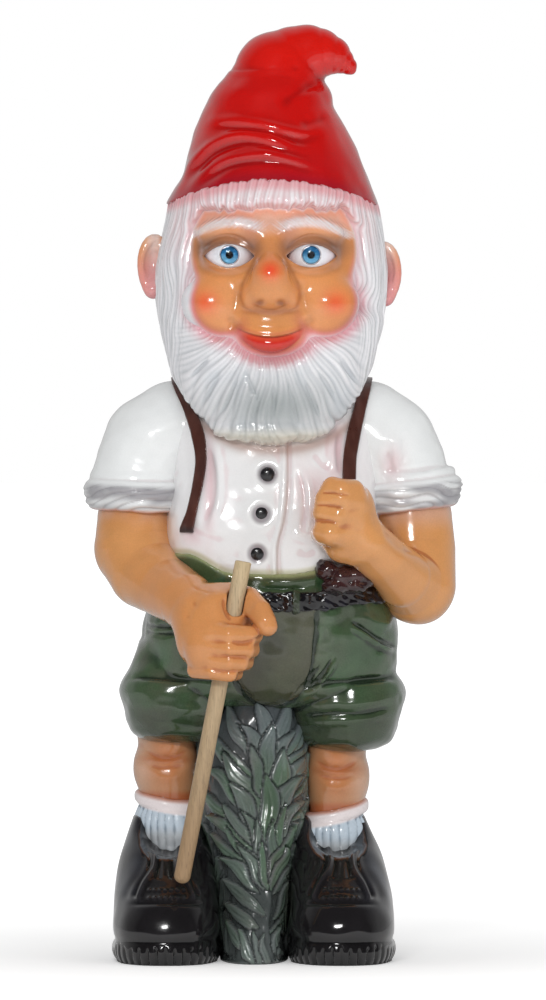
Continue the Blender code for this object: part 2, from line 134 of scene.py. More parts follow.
def hermite(knots, values, at):
    """A smooth curve through (knot, value) pairs, evaluated at the places asked for."""
    knots, values = np.asarray(knots, float), np.asarray(values, float)
    slopes = np.gradient(values, knots)
    at = np.clip(at, knots[0], knots[-1])
    i = np.clip(np.searchsorted(knots, at, side="right") - 1, 0, len(knots) - 2)
    step = knots[i + 1] - knots[i]
    t = (at - knots[i]) / step
    return (
        values[i] * (1 + 2 * t) * (1 - t) ** 2
        + slopes[i] * step * t * (1 - t) ** 2
        + values[i + 1] * t * t * (3 - 2 * t)
        + slopes[i + 1] * step * t * t * (t - 1)
    )


def soft_min(a, b, blend):
    if blend <= 0:
        return np.minimum(a, b)
    h = np.clip(0.5 + 0.5 * (b - a) / blend, 0.0, 1.0)
    return b + (a - b) * h - blend * h * (1 - h)


# ---------------------------------------------------------------- clay


class Shape:
    """A distance function, negative inside, and the box that holds the shape."""

    def __init__(self, distance, low, high):
        self.distance = distance
        self.low = np.asarray(low, float)
        self.high = np.asarray(high, float)


def ball(at, radii, turn=(0, 0, 0)):
    """An ellipsoid; turn holds its rotations about x, y and z in degrees."""
    at = np.asarray(at, np.float32)
    radii = np.full(3, radii, np.float32) if np.isscalar(radii) else np.asarray(radii, np.float32)
    spin = np.array(Euler([math.radians(a) for a in turn]).to_matrix(), np.float32)
    turned = any(turn)

    def distance(x, y, z):
        p = [x - at[0], y - at[1], z - at[2]]
        if turned:
            p = [p[0] * spin[0, i] + p[1] * spin[1, i] + p[2] * spin[2, i] for i in range(3)]
        near = np.sqrt((p[0] / radii[0]) ** 2 + (p[1] / radii[1]) ** 2 + (p[2] / radii[2]) ** 2)
        steep = np.sqrt(sum((p[i] / radii[i] ** 2) ** 2 for i in range(3)))
        return near * (near - 1) / np.maximum(steep, 1e-6)

    reach = np.full(3, radii.max()) if turned else radii
    return Shape(distance, at - reach, at + reach)


def rope(joints, flat=1.0):
    """A round bar through (x, y, z, radius) joints; flat below 1 thins it from front to back."""
    joints = np.asarray(joints, np.float32)
    points, radii = joints[:, :3].copy(), joints[:, 3]
    points[:, 1] /= flat

    def distance(x, y, z):
        y = y / flat
        best = None
        for a, b, ra, rb in zip(points, points[1:], radii, radii[1:]):
            ab = b - a
            t = ((x - a[0]) * ab[0] + (y - a[1]) * ab[1] + (z - a[2]) * ab[2]) / float(ab @ ab)
            t = np.clip(t, 0, 1)
            gap = np.sqrt((x - a[0] - t * ab[0]) ** 2 + (y - a[1] - t * ab[1]) ** 2 + (z - a[2] - t * ab[2]) ** 2)
            gap = gap - (ra + (rb - ra) * t)
            best = gap if best is None else np.minimum(best, gap)
        return best * min(flat, 1.0)

    reach = radii.max()
    return Shape(distance, joints[:, :3].min(0) - reach, joints[:, :3].max(0) + reach)


def loft(sections, power=2.0, ends=4.0):
    """An upright solid through (height, centre x, centre y, half width, half depth) sections."""
    table = np.asarray(sections, float)
    low_z, high_z = table[0, 0], table[-1, 0]

    def distance(x, y, z):
        heights = np.ravel(z)
        cx, cy, hx, hy = (
            hermite(table[:, 0], table[:, i], heights).astype(np.float32).reshape(z.shape) for i in range(1, 5)
        )
        px, py = np.abs(x - cx) / hx, np.abs(y - cy) / hy
        near = (px**power + py**power) ** (1 / power)
        around = (near - 1) * np.minimum(hx, hy) * (1 + 0.5 * np.abs(hx - hy) / (hx + hy))
        caps = np.maximum(z - high_z, low_z - z)
        return -soft_min(-around, -caps, ends)

    half = table[:, 3:5]
    low = np.append((table[:, 1:3] - half).min(0), low_z)
    high = np.append((table[:, 1:3] + half).max(0), high_z)
    return Shape(distance, low, high)


def prism(outline, front, back):
    """A distance in the (x, z) plane carried through a range of y."""

    def distance(x, y, z):
        return np.maximum(outline(x, z), np.maximum(front - y, y - back))

    return distance


class Clay:
    """A grid of distances that shapes are joined to and cut from."""

    def __init__(self, low, high, voxel):
        self.voxel = voxel * COARSE
        self.low = np.asarray(low, float)
        counts = np.ceil((np.asarray(high) - self.low) / self.voxel).astype(int) + 1
        self.axes = [(self.low[i] + self.voxel * np.arange(counts[i])).astype(np.float32) for i in range(3)]
        self.field = np.full(counts, EMPTY, np.float32)

    def window(self, low, high):
        spans = []
        for i in range(3):
            first, last = np.searchsorted(self.axes[i], (low[i], high[i]))
            spans.append(slice(max(first - 1, 0), last + 1))
        return tuple(spans)

    def points(self, spans):
        x, y, z = (axis[span] for axis, span in zip(self.axes, spans))
        return x[:, None, None], y[None, :, None], z[None, None, :]

    def measure(self, shape, blend):
        margin = blend + 3 * self.voxel
        spans = self.window(shape.low - margin, shape.high + margin)
        return spans, shape.distance(*self.points(spans))

    def add(self, shape, blend=0.0):
        spans, new = self.measure(shape, blend)
        self.field[spans] = soft_min(self.field[spans], new, blend)

    def cut(self, shape, blend=0.0):
        spans, new = self.measure(shape, blend)
        self.field[spans] = -soft_min(-self.field[spans], new, blend)

    def everywhere(self, distance):
        """The value of a distance function over the whole grid."""
        return distance(*self.points(tuple(slice(None) for _ in range(3))))

    def keep(self, distance, blend=0.0):
        self.field = -soft_min(-self.field, -self.everywhere(distance), blend)

    def carve(self, distance, blend=0.0):
        self.field = -soft_min(-self.field, self.everywhere(distance), blend)

    def skin(self):
        """Surface nets: one point in each cell that the surface crosses, and a quad for each crossed edge."""
        field = self.field
        for axis in range(3):
            ends = [slice(None)] * 3
            for end in (0, -1):
                ends[axis] = end
                field[tuple(ends)] = np.maximum(field[tuple(ends)], self.voxel)
        inside = field < 0
        count = np.zeros([n - 1 for n in field.shape], np.int8)
        for dx, dy, dz in np.ndindex(2, 2, 2):
            count += inside[dx : dx + count.shape[0], dy : dy + count.shape[1], dz : dz + count.shape[2]]
        cells = np.argwhere((count > 0) & (count < 8))
        number = np.full(count.shape, -1, np.int32)
        number[tuple(cells.T)] = np.arange(len(cells))
        values = {c: field[cells[:, 0] + c[0], cells[:, 1] + c[1], cells[:, 2] + c[2]] for c in np.ndindex(2, 2, 2)}
        total = np.zeros((len(cells), 3))
        crossings = np.zeros(len(cells))
        for c in values:
            for axis in range(3):
                if c[axis]:
                    continue
                d = tuple(1 if i == axis else c[i] for i in range(3))
                a, b = values[c], values[d]
                crossed = (a < 0) != (b < 0)
                share = np.where(crossed, a / np.where(crossed, a - b, 1), 0)
                spot = np.array(c, float)[None, :] + np.zeros((len(cells), 3))
                spot[:, axis] += share
                total += spot * crossed[:, None]
                crossings += crossed
        points = self.low + self.voxel * (cells + total / crossings[:, None])
        quads = []
        for axis in range(3):
            u, v = (axis + 1) % 3, (axis + 2) % 3
            here = [slice(1, -1)] * 3
            here[axis] = slice(0, -1)
            there = list(here)
            there[axis] = slice(1, None)
            first, second = inside[tuple(here)], inside[tuple(there)]
            edges = np.argwhere(first != second)
            outward = first[tuple(edges.T)]
            base = edges.copy()
            base[:, u] += 1
            base[:, v] += 1
            ring = []
            for du, dv in ((-1, -1), (0, -1), (0, 0), (-1, 0)):
                cell = base.copy()
                cell[:, u] += du
                cell[:, v] += dv
                ring.append(number[tuple(cell.T)])
            ring = np.stack(ring, 1)
            ring[~outward] = ring[~outward][:, ::-1]
            quads.append(ring)
        return Skin(points, np.concatenate(quads))


class Skin:
    """The skinned clay: points in millimetres, quads, and a colour for each point."""

    def __init__(self, points, quads):
        self.points = points
        self.quads = quads
        self.start = np.concatenate([quads[:, i] for i in range(4)])
        self.end = np.concatenate([quads[:, (i + 1) % 4] for i in range(4)])
        self.degree = np.bincount(self.start, minlength=len(points)) * 2.0
        self.colour = np.zeros((len(points), 3))
        self.smooth(2)

    @property
    def xyz(self):
        return self.points.T

    def around(self, values):
        """The mean of each point's neighbours."""
        count = len(self.points)
        columns = values if values.ndim == 2 else values[:, None]
        total = [
            np.bincount(self.start, columns[self.end, i], count) + np.bincount(self.end, columns[self.start, i], count)
            for i in range(columns.shape[1])
        ]
        mean = np.stack(total, 1) / self.degree[:, None]
        return mean if values.ndim == 2 else mean[:, 0]

    def smooth(self, times, keep=0.53):
        """Evens the points out without shrinking the form."""
        for _ in range(times):
            self.points += 0.5 * (self.around(self.points) - self.points)
            self.points -= keep * (self.around(self.points) - self.points)

    def normals(self):
        a, b, c, d = (self.points[self.quads[:, i]] for i in range(4))
        face = np.cross(c - a, d - b)
        count = len(self.points)
        total = np.stack([sum(np.bincount(self.quads[:, i], face[:, j], count) for i in range(4)) for j in range(3)], 1)
        return total / np.maximum(np.linalg.norm(total, axis=1, keepdims=True), 1e-9)

    def push(self, amount):
        self.points += self.normals() * np.asarray(amount)[:, None]

    def stand(self):
        """Flattens the underside onto the ground."""
        self.points[self.points[:, 2] < 1.0, 2] = 0.0

    def hollows(self, spread=3):
        """How deep each point lies among its surroundings, in about -1 to 1: above 0 in a crease."""
        normal = self.normals()
        lift = ((self.around(self.points) - self.points) * normal).sum(1)
        for _ in range(spread):
            lift = self.around(lift)
        scale = np.percentile(np.abs(lift), 95) + 1e-9
        return np.clip(lift / scale, -1, 1)

    def fill(self, colour):
        self.colour[:] = colour

    def tint(self, colour, share):
        share = np.clip(share, 0, 1)[:, None]
        self.colour += (np.asarray(colour) - self.colour) * share

    def stroke(self, path, width, height, side=0.0, front=True, fade=0.15):
        """Presses a line drawn in the front view into the surface, or raises it.

        path lists (x, z) points. side above 0 makes a fold: raised on the left of the path, sunk on its right.
        """
        path = np.asarray(path, float)
        x, _, z = self.xyz
        best = np.full(len(x), np.inf)
        offset = np.zeros(len(x))
        along = np.zeros(len(x))
        lengths = np.linalg.norm(np.diff(path, axis=0), axis=1)
        passed = np.concatenate([[0], np.cumsum(lengths)])
        for i, (a, b) in enumerate(zip(path, path[1:])):
            step = b - a
            t = np.clip(((x - a[0]) * step[0] + (z - a[1]) * step[1]) / (step @ step), 0, 1)
            dx, dz = x - a[0] - t * step[0], z - a[1] - t * step[1]
            gap = np.hypot(dx, dz)
            closer = gap < best
            best = np.where(closer, gap, best)
            sign = np.sign(step[0] * dz - step[1] * dx)
            offset = np.where(closer, gap * sign, offset)
            along = np.where(closer, (passed[i] + t * lengths[i]) / passed[-1], along)
        facing = self.normals()[:, 1] * (-1 if front else 1)
        mask = smoothstep(0.0, 0.35, facing)
        mask = mask * smoothstep(0, fade, along) * smoothstep(0, fade, 1 - along)
        press = np.exp(-((best / width) ** 2))
        if side:
            press = press * offset / width * 2.3 * side
        self.push(press * mask * height)
        return press * mask


def curve(points, count=24):
    """A smooth path through a few (x, z) points."""
    points = np.asarray(points, float)
    knots = np.arange(len(points))
    at = np.linspace(0, len(points) - 1, count)
    return np.stack([hermite(knots, points[:, i], at) for i in range(points.shape[1])], 1)


def place(skin, name, anchor, material, body="figure", stands_for=()):
    """Makes the skin an object of the scene that rides on a body and stands for its CAD nodes."""
    mesh = bpy.data.meshes.new(name)
    count, faces = len(skin.points), len(skin.quads)
    mesh.vertices.add(count)
    mesh.vertices.foreach_set("co", ((skin.points + anchor) * MM).astype(np.float32).ravel())
    mesh.loops.add(faces * 4)
    mesh.loops.foreach_set("vertex_index", skin.quads.astype(np.int32).ravel())
    mesh.polygons.add(faces)
    mesh.polygons.foreach_set("loop_start", np.arange(0, faces * 4, 4, dtype=np.int32))
    mesh.update(calc_edges=True)
    mesh.shade_smooth()
    paint = mesh.color_attributes.new("paint", "FLOAT_COLOR", "POINT")
    rgba = np.concatenate([np.clip(skin.colour, 0, 1), np.ones((count, 1))], 1)
    paint.data.foreach_set("color", rgba.astype(np.float32).ravel())
    return settle(mesh, name, material, body, stands_for)


def settle(mesh, name, material, body, stands_for):
    obj = bpy.data.objects.new(name, mesh)
    bpy.context.scene.collection.objects.link(obj)
    mesh.materials.append(material)
    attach(obj, body)
    if stands_for:
        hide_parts(*stands_for)
    return obj


# ---------------------------------------------------------------- materials


class Nodes:
    """A material's node tree, with short calls for the nodes that this script uses."""

    def __init__(self, name):
        self.material = bpy.data.materials.new(name)
        self.material.use_nodes = True
        self.tree = self.material.node_tree
        self.shader = self.tree.nodes["Principled BSDF"]

    def make(self, kind, inputs=None, **settings):
        node = self.tree.nodes.new(kind)
        for key, value in settings.items():
            setattr(node, key, value)
        for key, value in (inputs or {}).items():
            self.feed(node.inputs[key], value)
        return node

    def feed(self, socket, value):
        if isinstance(value, bpy.types.NodeSocket):
            self.tree.links.new(value, socket)
        else:
            socket.default_value = value

    def set(self, **inputs):
        for key, value in inputs.items():
            name = "IOR" if key == "ior" else key.replace("_", " ").title()
            self.feed(self.shader.inputs[name], value)

    def position(self):
        return self.make("ShaderNodeTexCoord").outputs["Object"]

    def noise(self, scale, detail=2.0, vector=None, roughness=0.5):
        vector = vector or self.position()
        settings = {"Vector": vector, "Scale": scale, "Detail": detail, "Roughness": roughness}
        return self.make("ShaderNodeTexNoise", settings).outputs["Fac"]

    def range(self, value, low, high, from_low=0.0, from_high=1.0):
        names = {"Value": value, "From Min": from_low, "From Max": from_high, "To Min": low, "To Max": high}
        return self.make("ShaderNodeMapRange", names).outputs["Result"]

    def bump(self, height, distance, strength=1.0, under=None):
        inputs = {"Height": height, "Distance": distance, "Strength": strength}
        if under:
            inputs["Normal"] = under
        return self.make("ShaderNodeBump", inputs).outputs["Normal"]

    def scaled(self, colour, amount):
        """The colour made lighter or darker by amount, which is about 1."""
        return self.make(
            "ShaderNodeVectorMath", {0: colour, 1: amount}, operation="MULTIPLY"
        ).outputs["Vector"]


def painted(name, gloss=0.16, ripple=0.25, mottle=0.05, subsurface=0.0):
    """Glossy sprayed paint on moulded plastic. Its colour comes from the points' paint."""
    nodes = Nodes(name)
    paint = nodes.make("ShaderNodeAttribute", attribute_name="paint").outputs["Color"]
    cloudy = nodes.range(nodes.noise(45.0, 4.0), 1 - mottle, 1 + mottle, 0.3, 0.7)
    speckle = nodes.range(nodes.noise(900.0, 2.0), 1 - mottle * 0.8, 1 + mottle * 0.8, 0.3, 0.7)
    both = nodes.make("ShaderNodeMath", {0: cloudy, 1: speckle}, operation="MULTIPLY").outputs[0]
    waves = nodes.bump(nodes.noise(70.0, 2.0), ripple * MM, 0.6)
    peel = nodes.bump(nodes.noise(520.0, 2.0), ripple * 0.12 * MM, 0.5, under=waves)
    rough = nodes.range(nodes.noise(28.0, 3.0), gloss * 0.7, gloss * 1.5, 0.3, 0.7)
    nodes.set(base_color=nodes.scaled(paint, both), roughness=rough, normal=peel)
    nodes.shader.inputs["Coat Weight"].default_value = 0.6
    nodes.shader.inputs["Coat Roughness"].default_value = 0.06
    nodes.feed(nodes.shader.inputs["Coat Normal"], waves)
    if subsurface:
        nodes.shader.inputs["Subsurface Weight"].default_value = subsurface
        nodes.shader.inputs["Subsurface Scale"].default_value = 0.003
    return nodes.material


# ---------------------------------------------------------------- head

BLUSH = srgb(232, 70, 40)
SKIN = srgb(224, 146, 84)
SKIN_PALE = srgb(232, 170, 128)
SHADE = srgb(92, 76, 76)
PINK = srgb(228, 138, 150)
WHITE = srgb(232, 230, 234)
LIPS = srgb(206, 26, 20)

eye_low, eye_high = corners("eyeball_left")
EYE_RADIUS = (eye_high[0] - eye_low[0]) / 2
EYE_SPREAD = centre("eyeball_left")[0]
FACE = np.array([0.0, eye_high[1] - EYE_RADIUS, centre("eyeball_left")[2]])  # between the eyes' centres
LID = 2.0  # thickness of an eyelid
EYE_WIDER = 1.12  # how much wider than round the eyes are at their corners
BROW_LINE = ((8, 21), (22, 24.5), (38, 23), (58, 14.5))  # of the left eyebrow, from the nose outwards


def face_outline(x, z):
    """Distance in the front view to the border between face and hair, negative on the skin."""
    ragged = 2.2 * noise(x / 3.4, 0.3, 0.0, 41) + 1.5 * noise(x / 9.0, 0.7, 0.0, 42)
    upper = (np.hypot((x - 2.5) / 61.0, (z - 2.0) / 56.0) - 1) * 56.0
    fringe = z - 33.5 - ragged * smoothstep(15, 30, z)
    brow = np.maximum(upper, np.maximum(fringe, -25.0 - z))
    left_cheek = np.hypot((x - 40.0) / 25.5, (z + 35.0) / 25.0) * 25.0 - 25.0
    right_cheek = np.hypot((x + 35.0) / 24.0, (z + 35.0) / 25.0) * 24.0 - 24.0
    mouth = (np.hypot((x - 1.0) / 28.0, (z + 57.0) / 18.0) - 1) * 18.0
    border = soft_min(brow, left_cheek, 7.0)
    border = soft_min(border, right_cheek, 7.0)
    middle = (np.hypot(x / 27.0, (z + 36.0) / 24.0) - 1) * 24.0
    return soft_min(soft_min(border, middle, 5.0), mouth, 6.0)


def face_mass():
    """The shapes that make the face's broad form, with the blend of each."""
    shapes = [
        (ball((1, 54, -8), (77, 75.5, 88)), 0),
        (ball((1, 24, -56), (68, 43, 36)), 12),
        (ball((0, 1, -51), (29, 22.5, 22)), 14),
    ]
    for side in (-1, 1):
        shapes.append((ball((side * 42, 0, -35.5), (23.5, 20.5, 21)), 9))
    return shapes


def above_skin(x, y, z):
    """Distance outside the face's broad form."""
    total = None
    for shape, blend in face_mass():
        each = shape.distance(x, y, z)
        total = each if total is None else soft_min(total, each, blend)
    return total


def almond(eye_x):
    """The opening between an eye's lids: where two circles overlap, a little pointed."""
    radius, lift, drop = 24.6, 16.2, 0.8

    def outline(x, z):
        upper = np.hypot(x - eye_x, z + lift + drop) - radius
        lower = np.hypot(x - eye_x, z - lift + drop) - radius
        return np.maximum(upper, lower)

    return outline


def sculpt_head():
    clay = Clay((-104, -46, -104), (104, 70, 70), 0.9)
    for shape, blend in face_mass():
        clay.add(shape, blend)
    for side in (-1, 1):
        clay.cut(ball((side * 31, -29, 2), (19, 14, 12)), 8)
        clay.add(rope([(side * 9, -15, 17, 4), (side * 26, -13.5, 21.5, 5), (side * 46, -3, 16, 5)]), 9)
        lid = EYE_RADIUS + LID
        clay.add(ball((side * EYE_SPREAD, 0, -0.8), (lid * EYE_WIDER, lid, lid)), 3)
        ear(clay, side)
    nose(clay)
    lips(clay)
    for side in (-1, 1):
        clay.carve(prism(almond(side * EYE_SPREAD), -40.0, -5.0), 1.2)
    skin = clay.skin()
    detail_face(skin)
    paint_face(skin)
    return place(skin, "head_sculpt", FACE, PAINT_SKIN, stands_for=["head"])


def nose(clay):
    clay.add(rope([(0, -13, 13, 6), (0, -18, 1, 7), (0, -26, -11, 10)]), 7)
    clay.add(ball((0, -28, -14.5), (13, 12.5, 12)), 6)
    clay.add(ball((0, -21, -26), (18, 15.5, 14.5)), 6)
    for side in (-1, 1):
        clay.add(ball((side * 14.5, -16.5, -30.5), (7.8, 10, 9)), 4)
    for side in (-1, 1):
        clay.cut(ball((side * 8.2, -34.5, -35.5), (3.9, 5.5, 2.9), (0, side * 14, 0)), 2.2)


def lips(clay):
    spots = np.linspace(-1, 1, 15)
    full = 1 - spots**2
    upper = np.stack([25 * spots, -15.5 - 6.5 * full, -53.5 - 4.2 * full, 1.5 + 1.4 * full], 1)
    lower = np.stack([23 * spots, -15 - 6.0 * full, -56.5 - 8.3 * full, 1.4 + 5.1 * full], 1)
    line = np.stack([27 * spots, -18.5 - 9.5 * full, -53.0 - 7.2 * full, 0.7 + 0.3 * full], 1)
    clay.add(rope(upper), 4)
    clay.add(rope(lower), 2)
    clay.cut(rope(line), 1.4)
    for side in (-1, 1):
        clay.cut(ball((side * 27.5, -22, -52), (3.5, 6, 3.5)), 6)


def ear(clay, side):
    """A flat bowl with a rolled rim, thicker at the lobe."""
    x = 84 if side > 0 else -85.5
    drop = 6.5 if side > 0 else 1.0
    clay.add(ball((x, 58, -8 - drop), (11, 9, 20), (0, side * -8, side * 25)), 4)
    rim = []
    for step in range(15):
        angle = math.radians(-70 + step * 17)
        rim.append((x + side * 9.5 * math.cos(angle), 54 - 2 * math.cos(angle), -7 - drop + 19.5 * math.sin(angle), 3.4))
    clay.add(rope(rim), 2.5)
    clay.add(ball((x + side * 1, 54, -25 - drop), (6, 6, 7)), 4)
    clay.cut(ball((x + side * 1, 48, -5 - drop), (6.5, 8, 12)), 3)


def detail_face(skin):
    for side in (-1, 1):
        x = side * EYE_SPREAD
        crease = curve([(x - side * 20, 2), (x - side * 9, 11.5), (x + side * 3, 14), (x + side * 14, 10), (x + side * 20, 3)])
        skin.stroke(crease, 1.5, -1.1)
        pouch = curve([(x - side * 17, -9), (x - side * 6, -14), (x + side * 8, -13.5), (x + side * 19, -8)])
        skin.stroke(pouch, 2.4, -0.8)
        fold = curve([(side * 21, -26), (side * 25, -34), (side * 28, -43), (side * 30, -52)])
        skin.stroke(fold, 3.5, -1.2)
        brows = curve([(side * px, pz) for px, pz in BROW_LINE])
        ridge = skin.stroke(brows, 4.6, 1.7, fade=0.12)
        px, _, pz = skin.xyz
        skin.push(ridge * (strands(pz + side * px * 0.8, px, 2.2, 9.0, 5) - 0.4) * 1.1)
    px, py, pz = skin.xyz
    skin.push(0.25 * noise(px / 14, py / 14, pz / 14, 3))


def paint_face(skin):
    x, y, z = skin.xyz
    hollow = skin.hollows(4)
    skin.fill(SKIN)
    skin.tint(srgb(236, 188, 170), smoothstep(11, 24, z) * 0.8)
    skin.tint(srgb(192, 136, 88), 0.55 * bump_at(x, z, 0, -46, 19, 7))
    skin.tint(srgb(198, 134, 84), 0.45 * bump_at(x, z, 0, -22, 18, 16))
    # darker in the creases: partly the figure's airbrushed shading, partly painted shade
    skin.tint(srgb(150, 92, 60), hollow * 0.35)
    for side in (-1, 1):
        eye_x = side * EYE_SPREAD
        skin.tint(SHADE, 0.85 * bump_at(x, z, eye_x + side * 2, 6, 22, 8))
        skin.tint(SHADE, 0.6 * bump_at(x, z, eye_x + side * 18, 2, 8, 10))
        skin.tint(SHADE, 0.5 * bump_at(x, z, eye_x - side * 17, 6, 7, 9))
        skin.tint(SHADE, 0.4 * bump_at(x, z, eye_x, -9, 18, 3.5))
        skin.tint(SKIN, 0.7 * bump_at(x, z, eye_x + side * 4, 18.5, 18, 2.6))
        skin.tint(srgb(176, 104, 76), 0.5 * bump_at(x, z, side * 14, 18, 8, 8))
        skin.tint(srgb(232, 166, 112), 0.6 * bump_at(x, z, side * 38, -34, 22, 20))
        skin.tint(BLUSH, 0.8 * bump_at(x, z, side * 48, -35, 9, 8))
        skin.tint(srgb(222, 124, 72), 0.25 * bump_at(x, z, side * 48, -35, 17, 15))
        eyebrow(skin, side)
        helix = smoothstep(78, 84, side * x)
        skin.tint(SKIN_PALE, helix * 0.6)
        skin.tint(WHITE, 0.5 * helix * smoothstep(96, 86, side * x))
    skin.tint(BLUSH, 0.9 * bump_at(x, z, 0, -11, 7.5, 7) * smoothstep(-20, -28, y))
    beside = np.interp(z, NOSE_HEIGHTS, NOSE_HALVES)
    contour = np.exp(-(((np.abs(x) - beside) / 1.6) ** 2)) * smoothstep(-43, -39, z) * smoothstep(10, -4, z)
    skin.tint(srgb(150, 88, 52), 0.4 * contour)
    skin.tint(srgb(150, 84, 56), 0.6 * bump_at(x, z, 0, -41.5, 21, 2.5) * smoothstep(-14, -20, y))
    skin.tint(srgb(120, 60, 40), 0.7 * (bump_at(x, z, 8.2, -35.5, 3.4, 2.6) + bump_at(x, z, -8.2, -35.5, 3.4, 2.6)))
    paint_mouth(skin)
    border = face_outline(x, z)
    skin.tint(srgb(190, 104, 84), 0.6 * smoothstep(-9, -2, border) * smoothstep(-20, -40, z))
    skin.tint(PINK, 0.6 * smoothstep(-5.0, -1, border) * smoothstep(10, -20, z))
    skin.tint(srgb(240, 160, 128), 0.7 * smoothstep(-8, -1, border) * smoothstep(16, 26, z))
    skin.tint(WHITE, smoothstep(-2.6, 2.2, border) * smoothstep(76, 70, np.abs(x)))
    skin.tint(SKIN, smoothstep(20, 40, y) * smoothstep(76, 70, np.abs(x)))


NOSE_HEIGHTS = (-41, -38, -30, -20, -8, 2, 10)
NOSE_HALVES = (14, 19.5, 22, 20, 14, 9.5, 9)


def eyebrow(skin, side):
    x, _, z = skin.xyz
    reach = side * x
    line = hermite([p[0] for p in BROW_LINE], [p[1] for p in BROW_LINE], reach)
    thick = 5.2 - 1.6 * smoothstep(30, 58, reach)
    tufts = strands(z + reach * 0.8, x, 2.2, 9.0, 5)
    band = smoothstep(thick, thick * 0.1, np.abs(z - line) - tufts * 1.6)
    ends = smoothstep(2, 16, reach + 5 * tufts) * smoothstep(66, 52, reach - 3 * tufts)
    skin.tint(WHITE, band * ends * (0.5 + 0.45 * tufts))


def paint_mouth(skin):
    x, _, z = skin.xyz
    across = np.abs(x) / 25.0
    line = -60.2 + 7.0 * across**2
    below = -72.0 + 15.0 * across**2.2
    corners_fade = smoothstep(26, 21, np.abs(x))
    mouth = smoothstep(0.8, -0.8, z - line) * smoothstep(-1.2, 1.0, z - below) * corners_fade
    skin.tint(LIPS, mouth * 0.97)
    skin.tint(srgb(226, 92, 62), 0.75 * mouth * smoothstep(-5.0, -0.5, z - line))
    skin.tint(srgb(206, 104, 80), 0.5 * np.exp(-(((z - line - 2.0) / 1.5) ** 2)) * corners_fade)
    skin.tint(srgb(110, 30, 24), 0.8 * np.exp(-(((z - line) / 0.75) ** 2)) * corners_fade)


# ---------------------------------------------------------------- eyes


IRIS_SEAT = 3.0  # how far behind the eyeball's front the iris lies


def eye_material():
    """White of the eye, iris with fibres, and pupil, by distance from the line of sight."""
    nodes = Nodes("eye_paint")
    radial = nodes.make("ShaderNodeAttribute", attribute_name="paint").outputs["Color"]
    veins = nodes.range(nodes.noise(400.0, 3.0), 0.92, 1.04, 0.3, 0.7)
    nodes.set(base_color=nodes.scaled(radial, veins), roughness=0.05)
    nodes.shader.inputs["Coat Weight"].default_value = 1.0
    nodes.shader.inputs["Coat Roughness"].default_value = 0.02
    return nodes.material


def disc_rings(radii, depth):
    """Rings round the line of sight with their depth, from the pole outwards."""
    sides = 64
    points, quads = [], []
    for radius, y in zip(radii, depth):
        for i in range(sides):
            angle = 2 * math.pi * i / sides
            points.append((radius * math.cos(angle), y, radius * math.sin(angle)))
    for ring in range(len(radii) - 1):
        for i in range(sides):
            j = (i + 1) % sides
            quads.append((ring * sides + i, ring * sides + j, (ring + 1) * sides + j, (ring + 1) * sides + i))
    return np.array(points), np.array(quads)


def sculpt_eye(side, paint, clear):
    low, high = corners(f"eyeball_{side}")
    at = np.array([(low[0] + high[0]) / 2, high[1] - EYE_RADIUS, (low[2] + high[2]) / 2])
    angles = np.radians(np.linspace(0.4, 179.6, 90))
    points, quads = disc_rings(EYE_RADIUS * np.sin(angles), -EYE_RADIUS * np.cos(angles))
    iris_radius = 7.2
    across = np.hypot(points[:, 0], points[:, 2])
    points[:, 0] *= 1 + (EYE_WIDER - 1) * smoothstep(8.5, 14.0, across)
    hole = smoothstep(iris_radius + 0.5, iris_radius - 0.2, across) * (points[:, 1] < 0)
    points[:, 1] += hole * (-EYE_RADIUS + IRIS_SEAT - points[:, 1])
    ball_skin = Skin(points, quads)
    ball_skin.points = points
    ball_skin.fill(srgb(232, 232, 238))
    ball_skin.tint(srgb(214, 150, 150), 0.35 * smoothstep(9, 16, across))
    place(ball_skin, f"eyeball_{side}_gloss", at, paint, stands_for=[f"eyeball_{side}"])
    radii = np.linspace(0.05, iris_radius, 26)
    points, quads = disc_rings(radii, -EYE_RADIUS + IRIS_SEAT - 0.8 + 0.07 * (iris_radius - radii))
    iris = Skin(points, quads)
    iris.points = points
    across = np.hypot(points[:, 0], points[:, 2])
    around = np.arctan2(points[:, 2], points[:, 0])
    fibres = noise(around * 9, across / 3.0, 0.0, 7)
    iris.fill(srgb(44, 122, 178))
    iris.tint(srgb(120, 200, 240), smoothstep(2.0, -5.5, points[:, 2]) * 0.85)
    iris.tint(srgb(150, 214, 246), np.clip(fibres, 0, 1) * 0.5)
    iris.tint(srgb(20, 52, 92), smoothstep(5.6, 7.2, across) * 0.85)
    iris.tint(srgb(16, 40, 70), smoothstep(0.0, 6.0, points[:, 2]) * 0.5)
    iris.tint(srgb(6, 6, 10), smoothstep(3.3, 2.7, across))
    place(iris, f"iris_{side}_gloss", at, paint, stands_for=[f"iris_{side}"])
    rise = np.radians(np.linspace(89.0, 0.0, 14))
    dome_radius = iris_radius + 0.2
    points, quads = disc_rings(dome_radius * np.cos(rise), -EYE_RADIUS + 1.6 - 2.2 * np.sin(rise))
    dome = Skin(points, quads)
    dome.points = points
    place(dome, f"cornea_{side}_gloss", at, clear, stands_for=[f"cornea_{side}"])


def clear_material():
    nodes = Nodes("cornea_clear")
    tint = nodes.range(nodes.noise(300.0), 0.97, 1.0)
    colour = nodes.make("ShaderNodeCombineColor", {"Red": tint, "Green": tint, "Blue": 1.0}).outputs["Color"]
    nodes.set(base_color=colour, roughness=0.0, ior=1.38)
    nodes.shader.inputs["Transmission Weight"].default_value = 1.0
    return nodes.material


# ---------------------------------------------------------------- hair and beard

